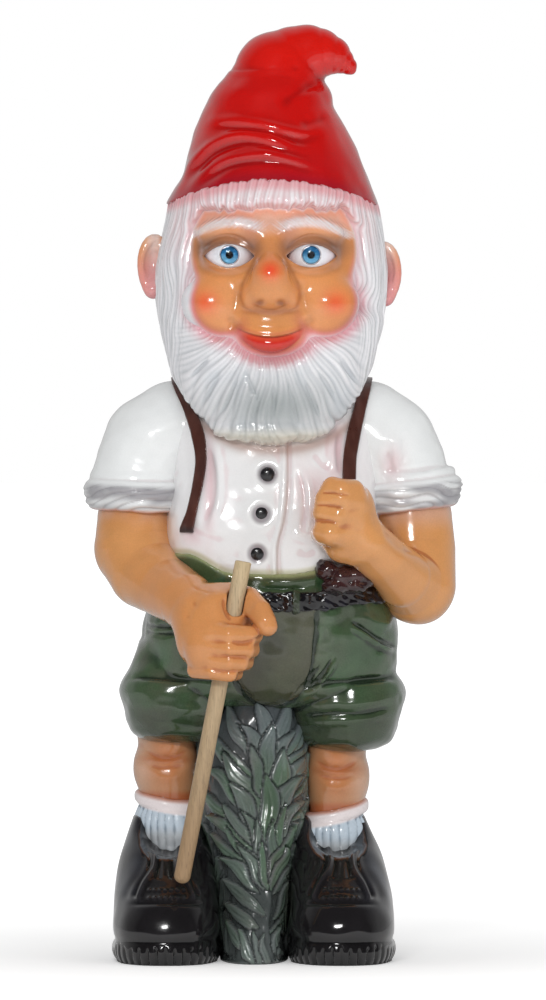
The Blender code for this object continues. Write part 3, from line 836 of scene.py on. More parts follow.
HAIR_SECTIONS = (
    (-140, 0, -9, 12, 6),
    (-136, 0, -7, 30, 15),
    (-122, 1, 2, 50, 27),
    (-96, 0, 17, 69, 44),
    (-69, 0.5, 34, 78, 61),
    (-33, 0.5, 51, 85, 77),
    (-3, 1, 54, 84, 80),
    (25, 2, 55, 79, 78),
    (50, 2, 56, 74, 73),
    (80, 2, 57, 58, 58),
)
NAPE_SECTIONS = (  # the hair behind the ears, down to the collar
    (-96, 1, 60, 44, 34),
    (-84, 1, 63, 54, 45),
    (-62, 1, 66, 68, 60),
    (-36, 1, 65, 78, 68),
    (-8, 1, 62, 82, 72),
)
FAN = (0.0, -38.0)  # the point that the beard's strands spread from
hat_low, hat_high = corners("hat")


def rim_height(x):
    """Height of the hat's rim above the eyes, an arch across the forehead."""
    return 53.5 - 17.5 * (x / 77.0) ** 2


def sculpt_hair():
    clay = Clay((-92, -44, -146), (96, 140, 66), 0.85)
    clay.add(loft(HAIR_SECTIONS, ends=8))
    clay.add(loft(NAPE_SECTIONS, ends=10), 8)

    def face_opening(x, y, z):
        """The hair thins out towards the face, gently beside it and abruptly over the forehead."""
        slope = 0.5 + 1.1 * smoothstep(28, 16, z) * smoothstep(-68, -40, z)
        wall = (face_outline(x, z) - slope * np.minimum(above_skin(x, y, z), 13.0)) / np.sqrt(1 + slope**2)
        return np.maximum(wall, y - 40.0)

    clay.carve(face_opening, 3.0)

    def above_rim(x, y, z):
        return z - rim_height(x) - 2.0

    clay.keep(above_rim, 2.0)
    skin = clay.skin()
    x, y, z = skin.xyz
    azimuth = np.arctan2(x, -(y - 54.0))
    fan = np.arctan2(x - FAN[0], FAN[1] - z)
    distance = np.hypot(x - FAN[0], z - FAN[1])
    beard = smoothstep(-42, -62, z) * smoothstep(74, 62, np.abs(x)) * smoothstep(52, 36, y)
    down = -z
    sway = 5.5 * noise(x / 26, y / 26, z / 30, 19)  # the strands wave together, and so never cross

    def comb(width, length, seed):
        sides = strands(azimuth * 78.0 + sway, down, width, length, seed, wander=0.35)
        front = strands(fan * 62.0 + sway, distance, width, length, seed + 9, wander=0.45)
        return sides + (front - sides) * beard

    behind = smoothstep(25, 45, y)
    border = face_outline(x, z)
    border = border + (60.0 - border) * behind
    edge = smoothstep(0.0, 7.0, border)
    clumps = comb(19.0, 52.0, 17)
    locks = comb(8.5, 34.0, 11)
    fine = comb(3.6, 22.0, 21)
    skin.push(edge * (1.6 * (clumps - 0.5) + 1.8 * (locks - 0.5)) + 1.1 * (fine - 0.5))
    grooves_cut = np.zeros(len(x))
    for path, depth in BEARD_GROOVES:
        grooves_cut += skin.stroke(curve(path), 1.6, -depth, fade=0.35)
    hollow = np.clip(1.0 - 0.75 * fine - 0.5 * locks * edge + grooves_cut, 0, 1)
    x, y, z = skin.xyz
    skin.fill(srgb(238, 237, 240))
    # painted shade: blue-grey in the valleys between the strands and in the grooves
    skin.tint(srgb(176, 182, 188), smoothstep(0.1, 0.95, hollow) * 0.56)
    skin.tint(srgb(196, 204, 212), np.clip(noise(x / 11, y / 11, z / 22, 35), 0, 1) * 0.6 * smoothstep(-70, -95, z))
    low = bump_at(x, z, 4, -112, 48, 22) * smoothstep(30, 0, y)
    skin.tint(srgb(150, 156, 156), low * 0.9)
    skin.tint(srgb(206, 198, 170), smoothstep(-124, -136, z) * 0.6)
    pinks = smoothstep(11, 1, border) * smoothstep(-10, -40, z)
    skin.tint(PINK, pinks * 0.35 + smoothstep(14, 0, border) * smoothstep(0.1, 0.8, hollow) * 0.35)
    skin.tint(srgb(236, 176, 176), smoothstep(-18, 30, z) * (1 - behind) * (0.12 + 0.3 * smoothstep(0.1, 0.8, hollow)))
    skin.tint(srgb(222, 110, 120), smoothstep(9, 1, rim_height(x) - z) * 0.55)
    return place(skin, "hair_sculpt", FACE, PAINT_HAIR, stands_for=["hair_and_beard"])


BEARD_GROOVES = (
    (((-44, -74), (-51, -82), (-60, -90)), 2.2),
    (((-22, -86), (-29, -102), (-37, -120)), 2.0),
    (((-19, -84), (-14, -96), (-10, -106)), 1.4),
    (((-36, -84), (-44, -100), (-50, -112)), 1.5),
    (((2, -92), (3, -108), (2, -124)), 1.4),
    (((24, -90), (30, -104), (38, -122)), 2.0),
    (((34, -84), (43, -98), (50, -110)), 1.6),
    (((50, -76), (58, -86), (66, -96)), 1.6),
    (((-8, -96), (-11, -112), (-15, -128)), 1.3),
    (((15, -98), (18, -112), (22, -128)), 1.4),
)


# ---------------------------------------------------------------- hat


def sculpt_hat():
    """A cone of soft stuff that folds over to one side; it is drawn from the middle of the rim."""
    crown = [
        (0, 0, 58, 37.5),
        (5, 0, 75.5, 32.5),
        (17, 0, 86, 24.5),
    ]
    tip = [
        (17, 0, 86, 24.5),
        (27, 0, 90.5, 22.0),
        (36, 0, 91.5, 18.5),
        (45, 0, 90, 14.5),
        (52, 0, 86, 10.0),
        (57.5, 0, 82, 6.8),
        (59.5, 0, 79.5, 4.4),
    ]
    clay = Clay((-86, -84, -34), (90, 84, 122), 1.1)
    clay.add(loft([(z, cx, 0, hx, 0.93 * hx) for z, cx, hx in HAT_CONE], ends=14))
    clay.add(rope(crown, flat=0.95), 10)
    clay.add(rope(tip, flat=0.95), 3)
    clay.add(ball((31, 0, 60), (13.5, 17, 11)), 6)

    def rim(x, y, z):
        return rim_height(x) - 57.0 - z - 0.0 * y

    clay.keep(rim, 2.0)
    skin = clay.skin()
    for path, width, height, side in HAT_FOLDS:
        skin.stroke(curve(path), width, height, side, fade=0.3)
        skin.stroke(curve([(x, z + 4) for x, z in path]), width, height, side, front=False, fade=0.3)
    x, y, z = skin.xyz
    skin.push(0.9 * noise(x / 26, y / 26, z / 26, 4) + 0.3 * noise(x / 11, y / 11, z / 11, 5))
    hollow = skin.hollows(5)
    skin.fill(srgb(200, 12, 8))
    skin.tint(srgb(220, 22, 8), smoothstep(60, 100, z) * 0.7)
    skin.tint(srgb(176, 12, 20), smoothstep(34, 2, z) * 0.6)
    over_rim = z - (rim_height(x) - 57.0)
    skin.tint(srgb(150, 22, 44), smoothstep(12, 1, over_rim) * 0.55)
    # darker red in the folds: partly the figure's airbrushed shading, partly painted shade
    skin.tint(srgb(120, 8, 12), np.clip(hollow, 0, 1) * 0.5)
    return place(skin, "hat_sculpt", np.array([0, centre("hat")[1], RIM]), PAINT_HAT, stands_for=["hat"])


RIM = FACE[2] + 57.0
HAT_CONE = (  # height above the rim, middle and half width
    (-34, 1.5, 80.5),
    (-18, 1.5, 78),
    (-9, 2.2, 74),
    (0, 3.3, 69.5),
    (17, 1.9, 63.5),
    (35, 0, 56),
    (52, -1, 47.5),
    (61, -0.4, 43.5),
    (74, 1, 34),
)
HAT_FOLDS = (
    (((-52, 36), (-36, 39), (-10, 37), (12, 32), (26, 30), (44, 36)), 4.5, 1.9, 1),
    (((-70, -14), (-58, 4), (-44, 20), (-24, 28), (-4, 27), (16, 20), (34, 16)), 4.5, 2.2, 1),
    (((-62, -14), (-50, -2), (-32, 10), (-10, 14), (8, 13), (22, 9), (44, 2)), 4.0, 1.7, 1),
    (((39, 71), (26, 66), (14, 58), (6, 50)), 4.5, -2.4, 0),
    (((44, 46), (34, 42), (20, 40)), 4.0, -1.4, 0),
    (((14, 92), (16, 84), (22, 76)), 4.0, -0.9, 0),
)


# ---------------------------------------------------------------- shirt, sleeves and braces

# The pieces below the head are drawn from the middle of the ground.
BASE = np.zeros(3)
LINEN = srgb(240, 239, 240)
LINEN_PINK = srgb(216, 168, 174)
CUFF_GREY = srgb(160, 158, 162)
CHEST = 2.3  # the power of the torso's rounded outline

TORSO = (
    (268, 2, -4, 70, 60),
    (278, 2, -4, 78, 67),
    (300, 2, -5, 80, 70),
    (325, 2.5, -5, 80, 70),
    (350, 3, -4, 79, 67),
    (390, 3, -2, 78, 60),
    (415, 3, 0, 72, 52),
    (432, 3, 0, 58, 43),
    (446, 3, 0, 42, 34),
)
SLEEVE = (
    (50, 0, 393, 29),
    (72, -1, 391, 35.5),
    (87, -3, 380, 36.5),
    (95, -5, 364, 35),
    (100, -7, 350, 34),
)


def torso():
    return loft(TORSO, power=CHEST, ends=6)


def shirt_mass():
    """The shapes that make the shirt's broad form, with the blend of each."""
    return [
        (torso(), 0),
        (ball((-30, -46, 320), (36, 24, 36)), 22),
        (ball((38, -44, 330), (32, 22, 40)), 22),
    ]


def above(mass, x, y, z):
    """Distance outside a list of blended shapes."""
    total = None
    for shape, blend in mass:
        each = shape.distance(x, y, z)
        total = each if total is None else soft_min(total, each, blend)
    return total


def sleeve_rope(side):
    """The left sleeve's rounded bar, or its mirror image for the right."""
    return rope([(x - 1 if side > 0 else 0.5 - x, y, z, r) for x, y, z, r in SLEEVE])


def hoop(at, radius, thick, tilt=0.0, deep=1.0):
    """A level ring of round section; tilt raises it along x, and deep stretches it along z."""
    x0, y0, z0 = at

    def distance(x, y, z):
        out = np.hypot(x - x0, y - y0) - radius
        up = (z - z0 - tilt * (x - x0)) / deep
        return np.hypot(out, up) - thick

    reach = radius + thick
    rise = thick * deep + abs(tilt) * reach
    return Shape(distance, (x0 - reach, y0 - reach, z0 - rise), (x0 + reach, y0 + reach, z0 + rise))


BUTTONS = ("upper", "middle", "lower")
PLACKET = ((11.5, 392), (12, 372), (11.8, 350), (9.5, 326), (5, 308), (4.5, 294), (5, 280))


def sculpt_shirt():
    clay = Clay((-84, -80, 262), (88, 72, 450), 1.0)
    for shape, blend in shirt_mass():
        clay.add(shape, blend)
    skin = clay.skin()
    skin.stroke(curve(PLACKET), 2.6, -1.5, side=1.0, fade=0.02)
    for path, width, height, side in SHIRT_FOLDS:
        skin.stroke(curve(path), width, height, side, fade=0.3)
    x, y, z = skin.xyz
    facing = smoothstep(0.0, 0.4, -skin.normals()[:, 1])
    for name in BUTTONS:
        spot = centre(f"button_{name}")
        away = np.hypot(x - spot[0], z - spot[2])
        skin.push(facing * (0.6 * np.exp(-(((away - 9.5) / 3.2) ** 2)) - 1.5 * np.exp(-((away / 6.0) ** 2))))
    skin.push(0.7 * noise(x / 24, y / 24, z / 24, 51) + 0.3 * noise(x / 9, y / 9, z / 9, 52))
    hollow = skin.hollows(5)
    skin.fill(LINEN)
    front = smoothstep(0, -25, y)
    cloud = np.clip(0.7 + noise(x / 9, y / 9, z / 9, 53), 0, 1) * front
    skin.tint(LINEN_PINK, smoothstep(0.15, 0.9, hollow) * 0.3)
    skin.tint(srgb(214, 215, 214), 0.55 * front * bump_at(x, z, -6, 328, 34, 46))
    skin.tint(LINEN_PINK, 0.3 * bump_at(x, z, 40, 360, 20, 24) * cloud)
    skin.tint(LINEN_PINK, (0.55 * bump_at(x, z, -45, 352, 4, 38) + 0.45 * bump_at(x, z, 48, 380, 6, 22)) * front)
    skin.tint(LINEN_PINK, (0.5 * bump_at(x, z, -56, 314, 12, 8) + 0.35 * bump_at(x, z, 27, 345, 8, 26)) * cloud)
    placket = hermite([p[1] for p in PLACKET][::-1], [p[0] for p in PLACKET][::-1], z)
    skin.tint(srgb(176, 142, 132), 0.55 * front * np.exp(-(((x - placket - 0.6) / 0.9) ** 2)))
    # painted shade: a darker ring in the dimple round each button
    for name in BUTTONS:
        spot = centre(f"button_{name}")
        away = np.hypot(x - spot[0], z - spot[2])
        skin.tint(srgb(128, 120, 126), facing * 0.75 * smoothstep(9.0, 5.5, away))
    # painted shadow: a brown-pink band on the shirt just under the beard's lower edge
    skin.tint(srgb(170, 134, 120), 0.7 * np.exp(-(((z - beard_bottom(x) + 2) / 5.0) ** 2)) * smoothstep(0, -20, y))
    skin.tint(srgb(178, 174, 120), 0.6 * smoothstep(5.5, 1.5, z - waist_line(x)))
    return place(skin, "shirt_sculpt", BASE, PAINT_SHIRT, stands_for=["shirt"])


def beard_bottom(x):
    """Height of the beard's lower edge."""
    return 379.0 + 21.0 * (np.abs(x - 4) / 58.0) ** 2.4


SHIRT_FOLDS = (
    (((-44, 386), (-40, 360), (-41, 338), (-50, 316)), 4.0, 1.6, 1),
    (((-66, 330), (-54, 318), (-40, 312), (-26, 312)), 5.0, -1.2, 0),
    (((50, 392), (48, 376), (50, 356)), 3.5, 1.5, -1),
    (((20, 366), (26, 350), (27, 330), (24, 312)), 3.0, 1.1, 1),
    (((16, 318), (26, 312), (34, 312)), 3.2, 1.2, 0),
    (((18, 304), (26, 300), (36, 303)), 3.0, -1.0, 0),
    (((30, 376), (38, 366), (46, 364)), 3.0, -1.0, 0),
    (((-14, 300), (-24, 294), (-40, 296)), 4.5, 0.9, 0),
    (((-20, 350), (-27, 335), (-24, 316)), 7.0, -0.9, 0),
)


TWIST = 6.0  # distance between the ridges of a rolled-up cuff


def sculpt_sleeves():
    for side, name in ((1, "left"), (-1, "right")):
        middle = 2 + side * 99.5
        low_x, high_x = sorted((2 + side * 40, 2 + side * 146))
        clay = Clay((low_x, -54, 316), (high_x, 46, 440), 0.9)
        clay.add(sleeve_rope(side))
        tilt = 0.12 if side > 0 else -0.03
        clay.add(hoop((middle, -7, 355), 30.5, 4.8, tilt=tilt), 2.5)
        clay.add(hoop((middle, -8, 345.5), 32.5, 8.2, tilt=tilt), 1.2)
        clay.add(hoop((middle, -8, 338), 31.5, 7.6, tilt=tilt), 1.6)
        clay.cut(rope([(middle, -8, 300, 25.5), (middle, -8, 334, 25.5)]), 2)
        skin = clay.skin()
        x, y, z = skin.xyz
        for path, width, height, fold in SLEEVE_FOLDS[: 4 if side > 0 else 1]:
            skin.stroke(curve([(2 + side * (px - 2), pz) for px, pz in path]), width, height, fold * side, fade=0.3)
        around = np.arctan2(x - middle, -(y + 8)) * 34
        level = z - tilt * (x - middle)
        twist = smoothstep(329, 333, level) * smoothstep(352, 347, level)
        helix = around * side * 6 * TWIST / (34 * 2 * math.pi)
        sway = TWIST * 1.1 * noise(x / 24, y / 24, z / 24, 61)
        twisted = strands(level + helix + sway, 0.0, TWIST, 1.0, 61, wander=0.0)
        skin.push(twist * 1.4 * (twisted - 0.5))
        skin.push(0.8 * noise(x / 22, y / 22, z / 22, 62) + 0.25 * noise(x / 8, y / 8, z / 8, 63))
        hollow = skin.hollows(3)
        skin.fill(srgb(238, 240, 240))
        # grey-pink in the creases: partly the figure's airbrushed shading, partly painted shade
        skin.tint(srgb(206, 192, 194), smoothstep(0.3, 0.95, hollow) * 0.35)
        front = smoothstep(5, -15, y)
        skin.tint(LINEN_PINK, 0.5 * bump_at(x, z, 2 + side * 88, 366, 8, 12) * (side > 0) * front)
        skin.tint(LINEN_PINK, 0.35 * smoothstep(64, 56, side * (x - 2)) * front)
        silver = 0.55 + 0.9 * noise(x / 16, y / 16, (level + helix) / 4.5, 64)
        skin.tint(CUFF_GREY, twist * np.clip(silver, 0.15, 0.95))
        # painted shade: darker grey in the valleys between the rolled cuff's ridges
        skin.tint(srgb(128, 126, 130), 0.45 * twist * smoothstep(0.45, 0.0, twisted))
        skin.tint(srgb(206, 132, 112), 0.7 * smoothstep(333, 330.5, level))
        place(skin, f"sleeve_{name}_sculpt", BASE, PAINT_SHIRT, stands_for=[f"sleeve_{name}"])


SLEEVE_FOLDS = (
    (((66, 424), (62, 400), (64, 376), (70, 358)), 4.0, 1.2, 1),
    (((84, 378), (88, 368), (88, 356)), 3.0, -1.3, 0),
    (((94, 390), (96, 378), (92, 362)), 4.5, 1.0, -1),
    (((76, 362), (92, 361), (112, 362), (128, 366)), 2.6, -1.2, 0),
)
BRACES = {
    "right": ((-72, 440, 4.0), (-68, 424, 4.2), (-60, 407, 4.6), (-53.5, 388, 5.0), (-51, 370, 4.3), (-53.5, 351, 4.0),
              (-57.5, 333, 3.9), (-61.5, 319, 5.2)),
    "left": ((74, 440, 3.8), (70.5, 424, 4.2), (66, 407, 4.6), (61.5, 388, 5.2), (58.5, 370, 5.0), (58, 350, 5.0),
             (58, 330, 5.0), (57, 312, 5.0)),
}


BRACE_BACK = ((50, 289), (54, 350), (64, 410), (72, 440))  # distance from the middle, and height


def sculpt_braces():
    body = shirt_mass()
    for name, line in BRACES.items():
        side = 1 if name == "left" else -1
        arm = sleeve_rope(side)
        heights = [p[1] for p in line][::-1]
        middles = [p[0] for p in line][::-1]
        widths = [p[2] for p in line][::-1]
        low = heights[0] - 3
        span = (min(middles + [side * 50]) - 9, max(middles + [side * 50]) + 9)
        clay = Clay((span[0], -84, BRACE_BACK[0][1] - 4), (span[1], 76, 446), 0.8)

        def strap(x, y, z):
            level = np.clip(z, heights[0], heights[-1])
            middle = hermite(heights, middles, np.ravel(level)).reshape(level.shape)
            width = hermite(heights, widths, np.ravel(level)).reshape(level.shape)
            back_z, back_x = [p[1] for p in BRACE_BACK], [side * p[0] for p in BRACE_BACK]
            behind = smoothstep(-5.0, 12.0, y)
            middle = middle + (hermite(back_z, back_x, np.ravel(z)).reshape(z.shape) - middle) * behind
            foot = low + (back_z[0] - low) * (y > 0)
            edge = np.maximum(np.abs(x - middle) - width, foot - z)
            over = soft_min(above(body, x, y, z), arm.distance(x, y, z), 4.0)
            return np.maximum(np.maximum(over - 2.8, -over - 2.5), edge)

        clay.add(Shape(strap, clay.low, (span[1], 76, 446)), 0)
        skin = clay.skin()
        x, y, z = skin.xyz
        hollow = skin.hollows(2)
        skin.push(0.15 * noise(x / 3, y / 3, z / 6, 71))
        skin.fill(srgb(74, 38, 30))
        # darker in the hollows: partly the straps' own shading, partly painted shade
        skin.tint(srgb(46, 24, 20), np.clip(hollow, 0, 1) * 0.7)
        skin.tint(srgb(108, 66, 56), 0.35 * np.clip(noise(x / 5, y / 5, z / 16, 72), 0, 1))
        skin.tint(srgb(30, 16, 16), 0.8 * smoothstep(low + 6, low + 1, z) * (y < 0))
        place(skin, f"brace_{name}_sculpt", BASE, PAINT_LEATHER, stands_for=[f"brace_{name}"])


# ---------------------------------------------------------------- arms and fists

HAND = srgb(212, 149, 92)
HAND_DEEP = srgb(168, 92, 50)
HAND_PALE = srgb(214, 172, 150)

stick_low, stick_high = corners("stick")
STICK_RADIUS = (stick_high[1] - stick_low[1]) / 2
STICK_MIDDLE = (stick_low + stick_high) / 2
STICK_LEAN = 0.19409  # how far the stick leans sideways for each millimetre of height


def stick_gap(x, y, z):
    """Distance from the stick's axis."""
    across = (x - STICK_MIDDLE[0] - STICK_LEAN * (z - STICK_MIDDLE[2])) / math.sqrt(1 + STICK_LEAN**2)
    return np.hypot(across, y - STICK_MIDDLE[1])


def sculpt_right_arm():
    """The arm comes forward and in from the sleeve, and its fist holds the stick in an open bore."""
    clay = Clay((-132, -140, 204), (12, 26, 362), 0.9)
    clay.add(rope([
        (-99, -8, 356, 24),
        (-99, -9, 325, 28.5),
        (-98.5, -13, 303, 31.5),
        (-91, -26, 286.5, 28.5),
        (-76, -52, 275, 23.0),
        (-62, -78, 267, 21),
        (-55, -92, 258, 20),
    ]))
    clay.add(ball((-43, -104, 246), (26, 22, 31), (0, 20, 0)), 9)
    clay.add(ball((-32, -92, 262), (24, 16, 18), (0, 15, 0)), 7)
    for low_z, width, reach, deep in ((243, 7.8, -12, -124), (232.5, 7.4, -14, -125), (223, 6.9, -18, -124), (214.5, 6.0, -25, -122)):
        finger = [
            (-55, -112, low_z + 2, width),
            (-42, -124, low_z + 1.5, width),
            (-30, deep - 4, low_z, width),
            (reach - 4, deep + 1, low_z - 0.5, width - 0.4),
            (reach, deep + 12, low_z - 0.5, width - 0.8),
            (reach - 4, deep + 22, low_z, width - 0.8),
        ]
        clay.add(rope(finger), 2.8)
    clay.add(ball((-46, -118, 238), (15, 12, 21), (0, 22, 0)), 5)
    thumb = [(-26, -92, 271, 9), (-16, -104, 268, 9.4), (-8, -116, 260, 9.0), (-3.5, -122, 252.5, 8.0), (-2, -123, 249, 7.4)]
    clay.add(rope(thumb), 3.0)
    clay.cut(ball((-25, -127, 267), (13, 15, 13)), 4)

    def bore(x, y, z):
        return stick_gap(x, y, z) - STICK_RADIUS - 0.6

    clay.carve(bore, 1.5)
    skin = clay.skin()
    for path, width, height, side in RIGHT_HAND_LINES:
        skin.stroke(curve(path), width, height, side, fade=0.25)
    x, y, z = skin.xyz
    skin.push(0.6 * noise(x / 20, y / 20, z / 20, 81))
    hollow = skin.hollows(4)
    skin.fill(HAND)
    skin.tint(HAND_PALE, 0.7 * smoothstep(318, 334, z) * np.clip(0.75 + noise(x / 10, y / 10, z / 8, 82), 0, 1))
    skin.tint(HAND_PALE, 0.55 * bump_at(x, z, -62, 300, 10, 16))
    # deeper orange in the creases: partly the figure's airbrushed shading, partly painted shade
    skin.tint(HAND_DEEP, smoothstep(0.05, 0.9, hollow) * 0.75)
    skin.tint(srgb(196, 120, 70), 0.3 * smoothstep(-40, -80, y))
    # painted shade: dark brown in the bore round the stick, where the fist closes on it
    inside = smoothstep(STICK_RADIUS + 2.2, STICK_RADIUS + 0.4, stick_gap(x, y, z))
    skin.tint(srgb(110, 56, 34), inside * 0.8)
    place(skin, "arm_right_sculpt", BASE, PAINT_HAND, stands_for=["arm_right"])


RIGHT_HAND_LINES = (
    (((-34, 272), (-33, 264), (-30, 256), (-26, 252)), 1.6, -1.3, 0),
    (((-30, 238.5), (-20, 237), (-10, 240), (-3, 243)), 1.3, -1.1, 0),
    (((-38, 229), (-28, 227.5), (-14, 227)), 1.3, -1.0, 0),
    (((-46, 219), (-36, 216.5), (-22, 217)), 1.3, -0.8, 0),
    (((-62, 252), (-58, 262), (-52, 268)), 3.0, -0.9, 0),
    (((-60, 262), (-52, 272), (-40, 279)), 3.5, -0.7, 0),
)


def sculpt_left_arm():
    """The arm folds up at the elbow, and its fist rests on the chest."""
    clay = Clay((22, -124, 242), (146, 26, 364), 0.9)
    clay.add(rope([
        (103, -8, 356, 24),
        (105, -9, 325, 29.5),
        (107, -12, 302, 30),
        (108.5, -24, 275.5, 28.5),
        (98, -48, 282, 21.5),
        (83, -72, 297, 18.5),
        (70, -85, 309, 18.5),
    ]))
    clay.add(ball((57, -90, 324), (20, 18, 30), (0, 14, 0)), 8)
    for knuckle_x, knuckle_z, tip_x, tip_z, width in LEFT_FINGERS:
        finger = [
            (knuckle_x + 5, -100, knuckle_z - 1, width + 0.6),
            (knuckle_x - 3, -107, knuckle_z, width),
            (tip_x + 6, -104, tip_z, width - 0.5),
            (tip_x + 4, -92, tip_z - 1, width - 1.2),
            (tip_x + 10, -82, tip_z - 1, width - 1.5),
        ]
        clay.add(rope(finger), 5.0)
    skin = clay.skin()
    for path, width, height, side in LEFT_HAND_LINES:
        skin.stroke(curve(path), width, height, side, fade=0.3)
    x, y, z = skin.xyz
    skin.push(0.6 * noise(x / 20, y / 20, z / 20, 91))
    hollow = skin.hollows(4)
    skin.fill(HAND)
    skin.tint(HAND_PALE, 0.7 * smoothstep(314, 332, z) * smoothstep(82, 90, x))
    # deeper orange in the creases: partly the figure's airbrushed shading, partly painted shade
    skin.tint(HAND_DEEP, smoothstep(0.05, 0.9, hollow) * 0.75)
    place(skin, "arm_left_sculpt", BASE, PAINT_HAND, stands_for=["arm_left"])


LEFT_FINGERS = (
    (55, 348.5, 40, 350, 8.6),
    (56.5, 340, 35, 341.5, 8.4),
    (53, 329.5, 33.5, 331.5, 8.7),
    (47.5, 316.5, 34, 317.5, 9.6),
)
LEFT_HAND_LINES = (
    (((82, 326), (86, 318), (96, 306), (112, 300)), 3.6, -1.6, 0),
    (((74, 338), (78, 322), (84, 312)), 3.0, -0.8, 0),
    (((70, 300), (62, 294), (54, 292)), 3.0, 0.6, 0),
    (((33, 346), (42, 346.5), (52, 345.5), (61, 344)), 1.3, -1.3, 0),
    (((30, 337), (38, 337.5), (48, 336.5), (57, 335)), 1.3, -1.2, 0),
    (((29, 326), (36, 326.5), (44, 325.5), (51, 324)), 1.3, -0.9, 0),
)


# ---------------------------------------------------------------- trousers, belt and legs

OLIVE = srgb(66, 92, 64)
OLIVE_DARK = srgb(28, 40, 28)
# grey of a painted reflection along the trouser legs' outer edges
TROUSER_RIM_REFLECTION = srgb(98, 108, 104)
FLAP_BROWN = srgb(68, 63, 46)

HIPS = (
    (186, 0, -5, 60, 40),
    (194, 0, -5, 80, 54),
    (208, 0, -5, 91, 64),
    (230, 0, -5, 94.0, 70),
    (250, 0, -5, 93.5, 72),
    (270, 1, -5, 86.5, 73),
    (283, 2, -4, 81.5, 72.5),
    (304, 2, -4, 80, 71),
)
CUFF = (
    (154, 0, -8, 24, 26),
    (159, 0, -8, 32, 36),
    (168, 0, -8, 37.5, 43),
    (182, 0, -8, 41, 48),
    (196, 0, -8, 44, 49.5),
    (204, 0, -8, 42, 47),
    (210, 0, -8, 38.5, 42),
    (236, 0, -6, 28, 38),
)
TROUSER_LEGS = {"left": (55.5, 0.0), "right": (-67.5, 6.0)}  # the middle of each, and how much higher it ends


def hips():
    return loft(HIPS, power=2.4, ends=3)


def waist_line(x):
    """Height of the trousers' upper edge."""
    return 285.5 + 15 * smoothstep(-25, -62, x) + 4 * smoothstep(15, 45, x)


def sculpt_trousers():
    clay = Clay((-118, -86, 148), (108, 76, 312), 1.0)
    clay.add(hips())
    shirt = shirt_mass()

    def band(x, y, z):
        """The waist lies a little outside the shirt."""
        return above(shirt, x, y, z) - 2.0

    clay.add(Shape(band, (-92, -88, 272), (94, 76, 312)), 2.0)
    for middle, lift in TROUSER_LEGS.values():
        squeeze = [(z + lift * (236 - z) / 80, middle, cy, hx, hy) for z, _, cy, hx, hy in CUFF]
        clay.add(loft(squeeze, power=2.2, ends=3), 2.5)

    def waist(x, y, z):
        return z - waist_line(x) + 0.0 * y

    clay.keep(waist, 3.0)
    skin = clay.skin()
    for path, width, height, side in TROUSER_FOLDS:
        skin.stroke(curve(path), width, height * 1.35, side, fade=0.22)
    for path, width, height, side in SEAT_FOLDS:
        skin.stroke(curve(path), width, height, side, front=False, fade=0.22)
    x, y, z = skin.xyz
    facing = smoothstep(0.0, 0.4, -skin.normals()[:, 1])
    panel = smoothstep(1.5, -1.5, flap_edge(x, z)) * facing
    skin.push(panel * 0.8)
    groove = flap_edge(x, z)
    seam = np.exp(-((groove / 1.5) ** 2)) * facing * smoothstep(262, 250, z)
    skin.push(-1.9 * seam)
    skin.push(1.0 * noise(x / 20, y / 20, z / 14, 101) + 0.45 * noise(x / 8, y / 8, z / 8, 102))
    hollow = skin.hollows(4)
    cloud = noise(x / 16, y / 16, z / 16, 103)
    skin.fill(OLIVE)
    skin.tint(srgb(84, 88, 72), np.clip(0.35 + 0.8 * cloud, 0, 1) * 0.8)
    skin.tint(srgb(66, 96, 62), np.clip(noise(x / 7, y / 7, z / 7, 104), 0, 1) * 0.6)
    skin.tint(FLAP_BROWN, panel * 0.75)
    skin.tint(OLIVE_DARK, seam * 0.8)
    skin.tint(srgb(44, 48, 34), 0.6 * smoothstep(205, 172, z))
    skin.tint(srgb(52, 70, 46), 0.35 * smoothstep(20, 60, x) * facing)
    # dark green in the folds: partly the figure's airbrushed shading, partly painted shade
    skin.tint(OLIVE_DARK, smoothstep(0.0, 0.8, hollow) * 0.85)
    # painted reflection: pale grey where the trouser legs turn side-on at their outer edges
    edge_on = smoothstep(0.45, 0.1, np.abs(skin.normals()[:, 1]))
    skin.tint(TROUSER_RIM_REFLECTION, edge_on * 0.55 * smoothstep(80, 95, np.abs(x + 4)))
    rim = waist_line(x)
    # painted highlight: a pale yellow-green line along the trousers' top edge
    skin.tint(srgb(168, 172, 122), 0.65 * smoothstep(4.0, 0.5, rim - z))
    skin.tint(srgb(52, 78, 50), 0.6 * smoothstep(3, 6, rim - z) * smoothstep(16, 11, rim - z))
    return place(skin, "trousers_sculpt", BASE, PAINT_TROUSERS, stands_for=["trousers"])


SEAT_FOLDS = (
    (((-2, 276), (-3, 250), (-2, 222), (-4, 196)), 1.8, -1.9, 0),
    (((-104, 206), (-88, 208), (-66, 208), (-46, 206)), 2.4, -2.0, 0),
    (((40, 203), (58, 206), (80, 208), (97, 206)), 2.4, -2.0, 0),
    (((-70, 218), (-46, 213), (-22, 216), (-6, 224)), 4.5, -1.8, 0),
    (((4, 224), (20, 214), (44, 212), (68, 218)), 4.5, -1.8, 0),
    (((-66, 250), (-48, 246), (-30, 247)), 1.8, -1.4, 0),
    (((30, 247), (48, 246), (66, 251)), 1.8, -1.4, 0),
)


def flap_edge(x, z):
    """Distance to the border of the U-shaped front flap, negative inside it."""
    half = 33.0 - 3.0 * smoothstep(250, 215, z)
    round_end = (np.hypot((x - 1) / half, np.minimum(z - 222, 0) / 36.0) - 1) * 33.0
    return round_end


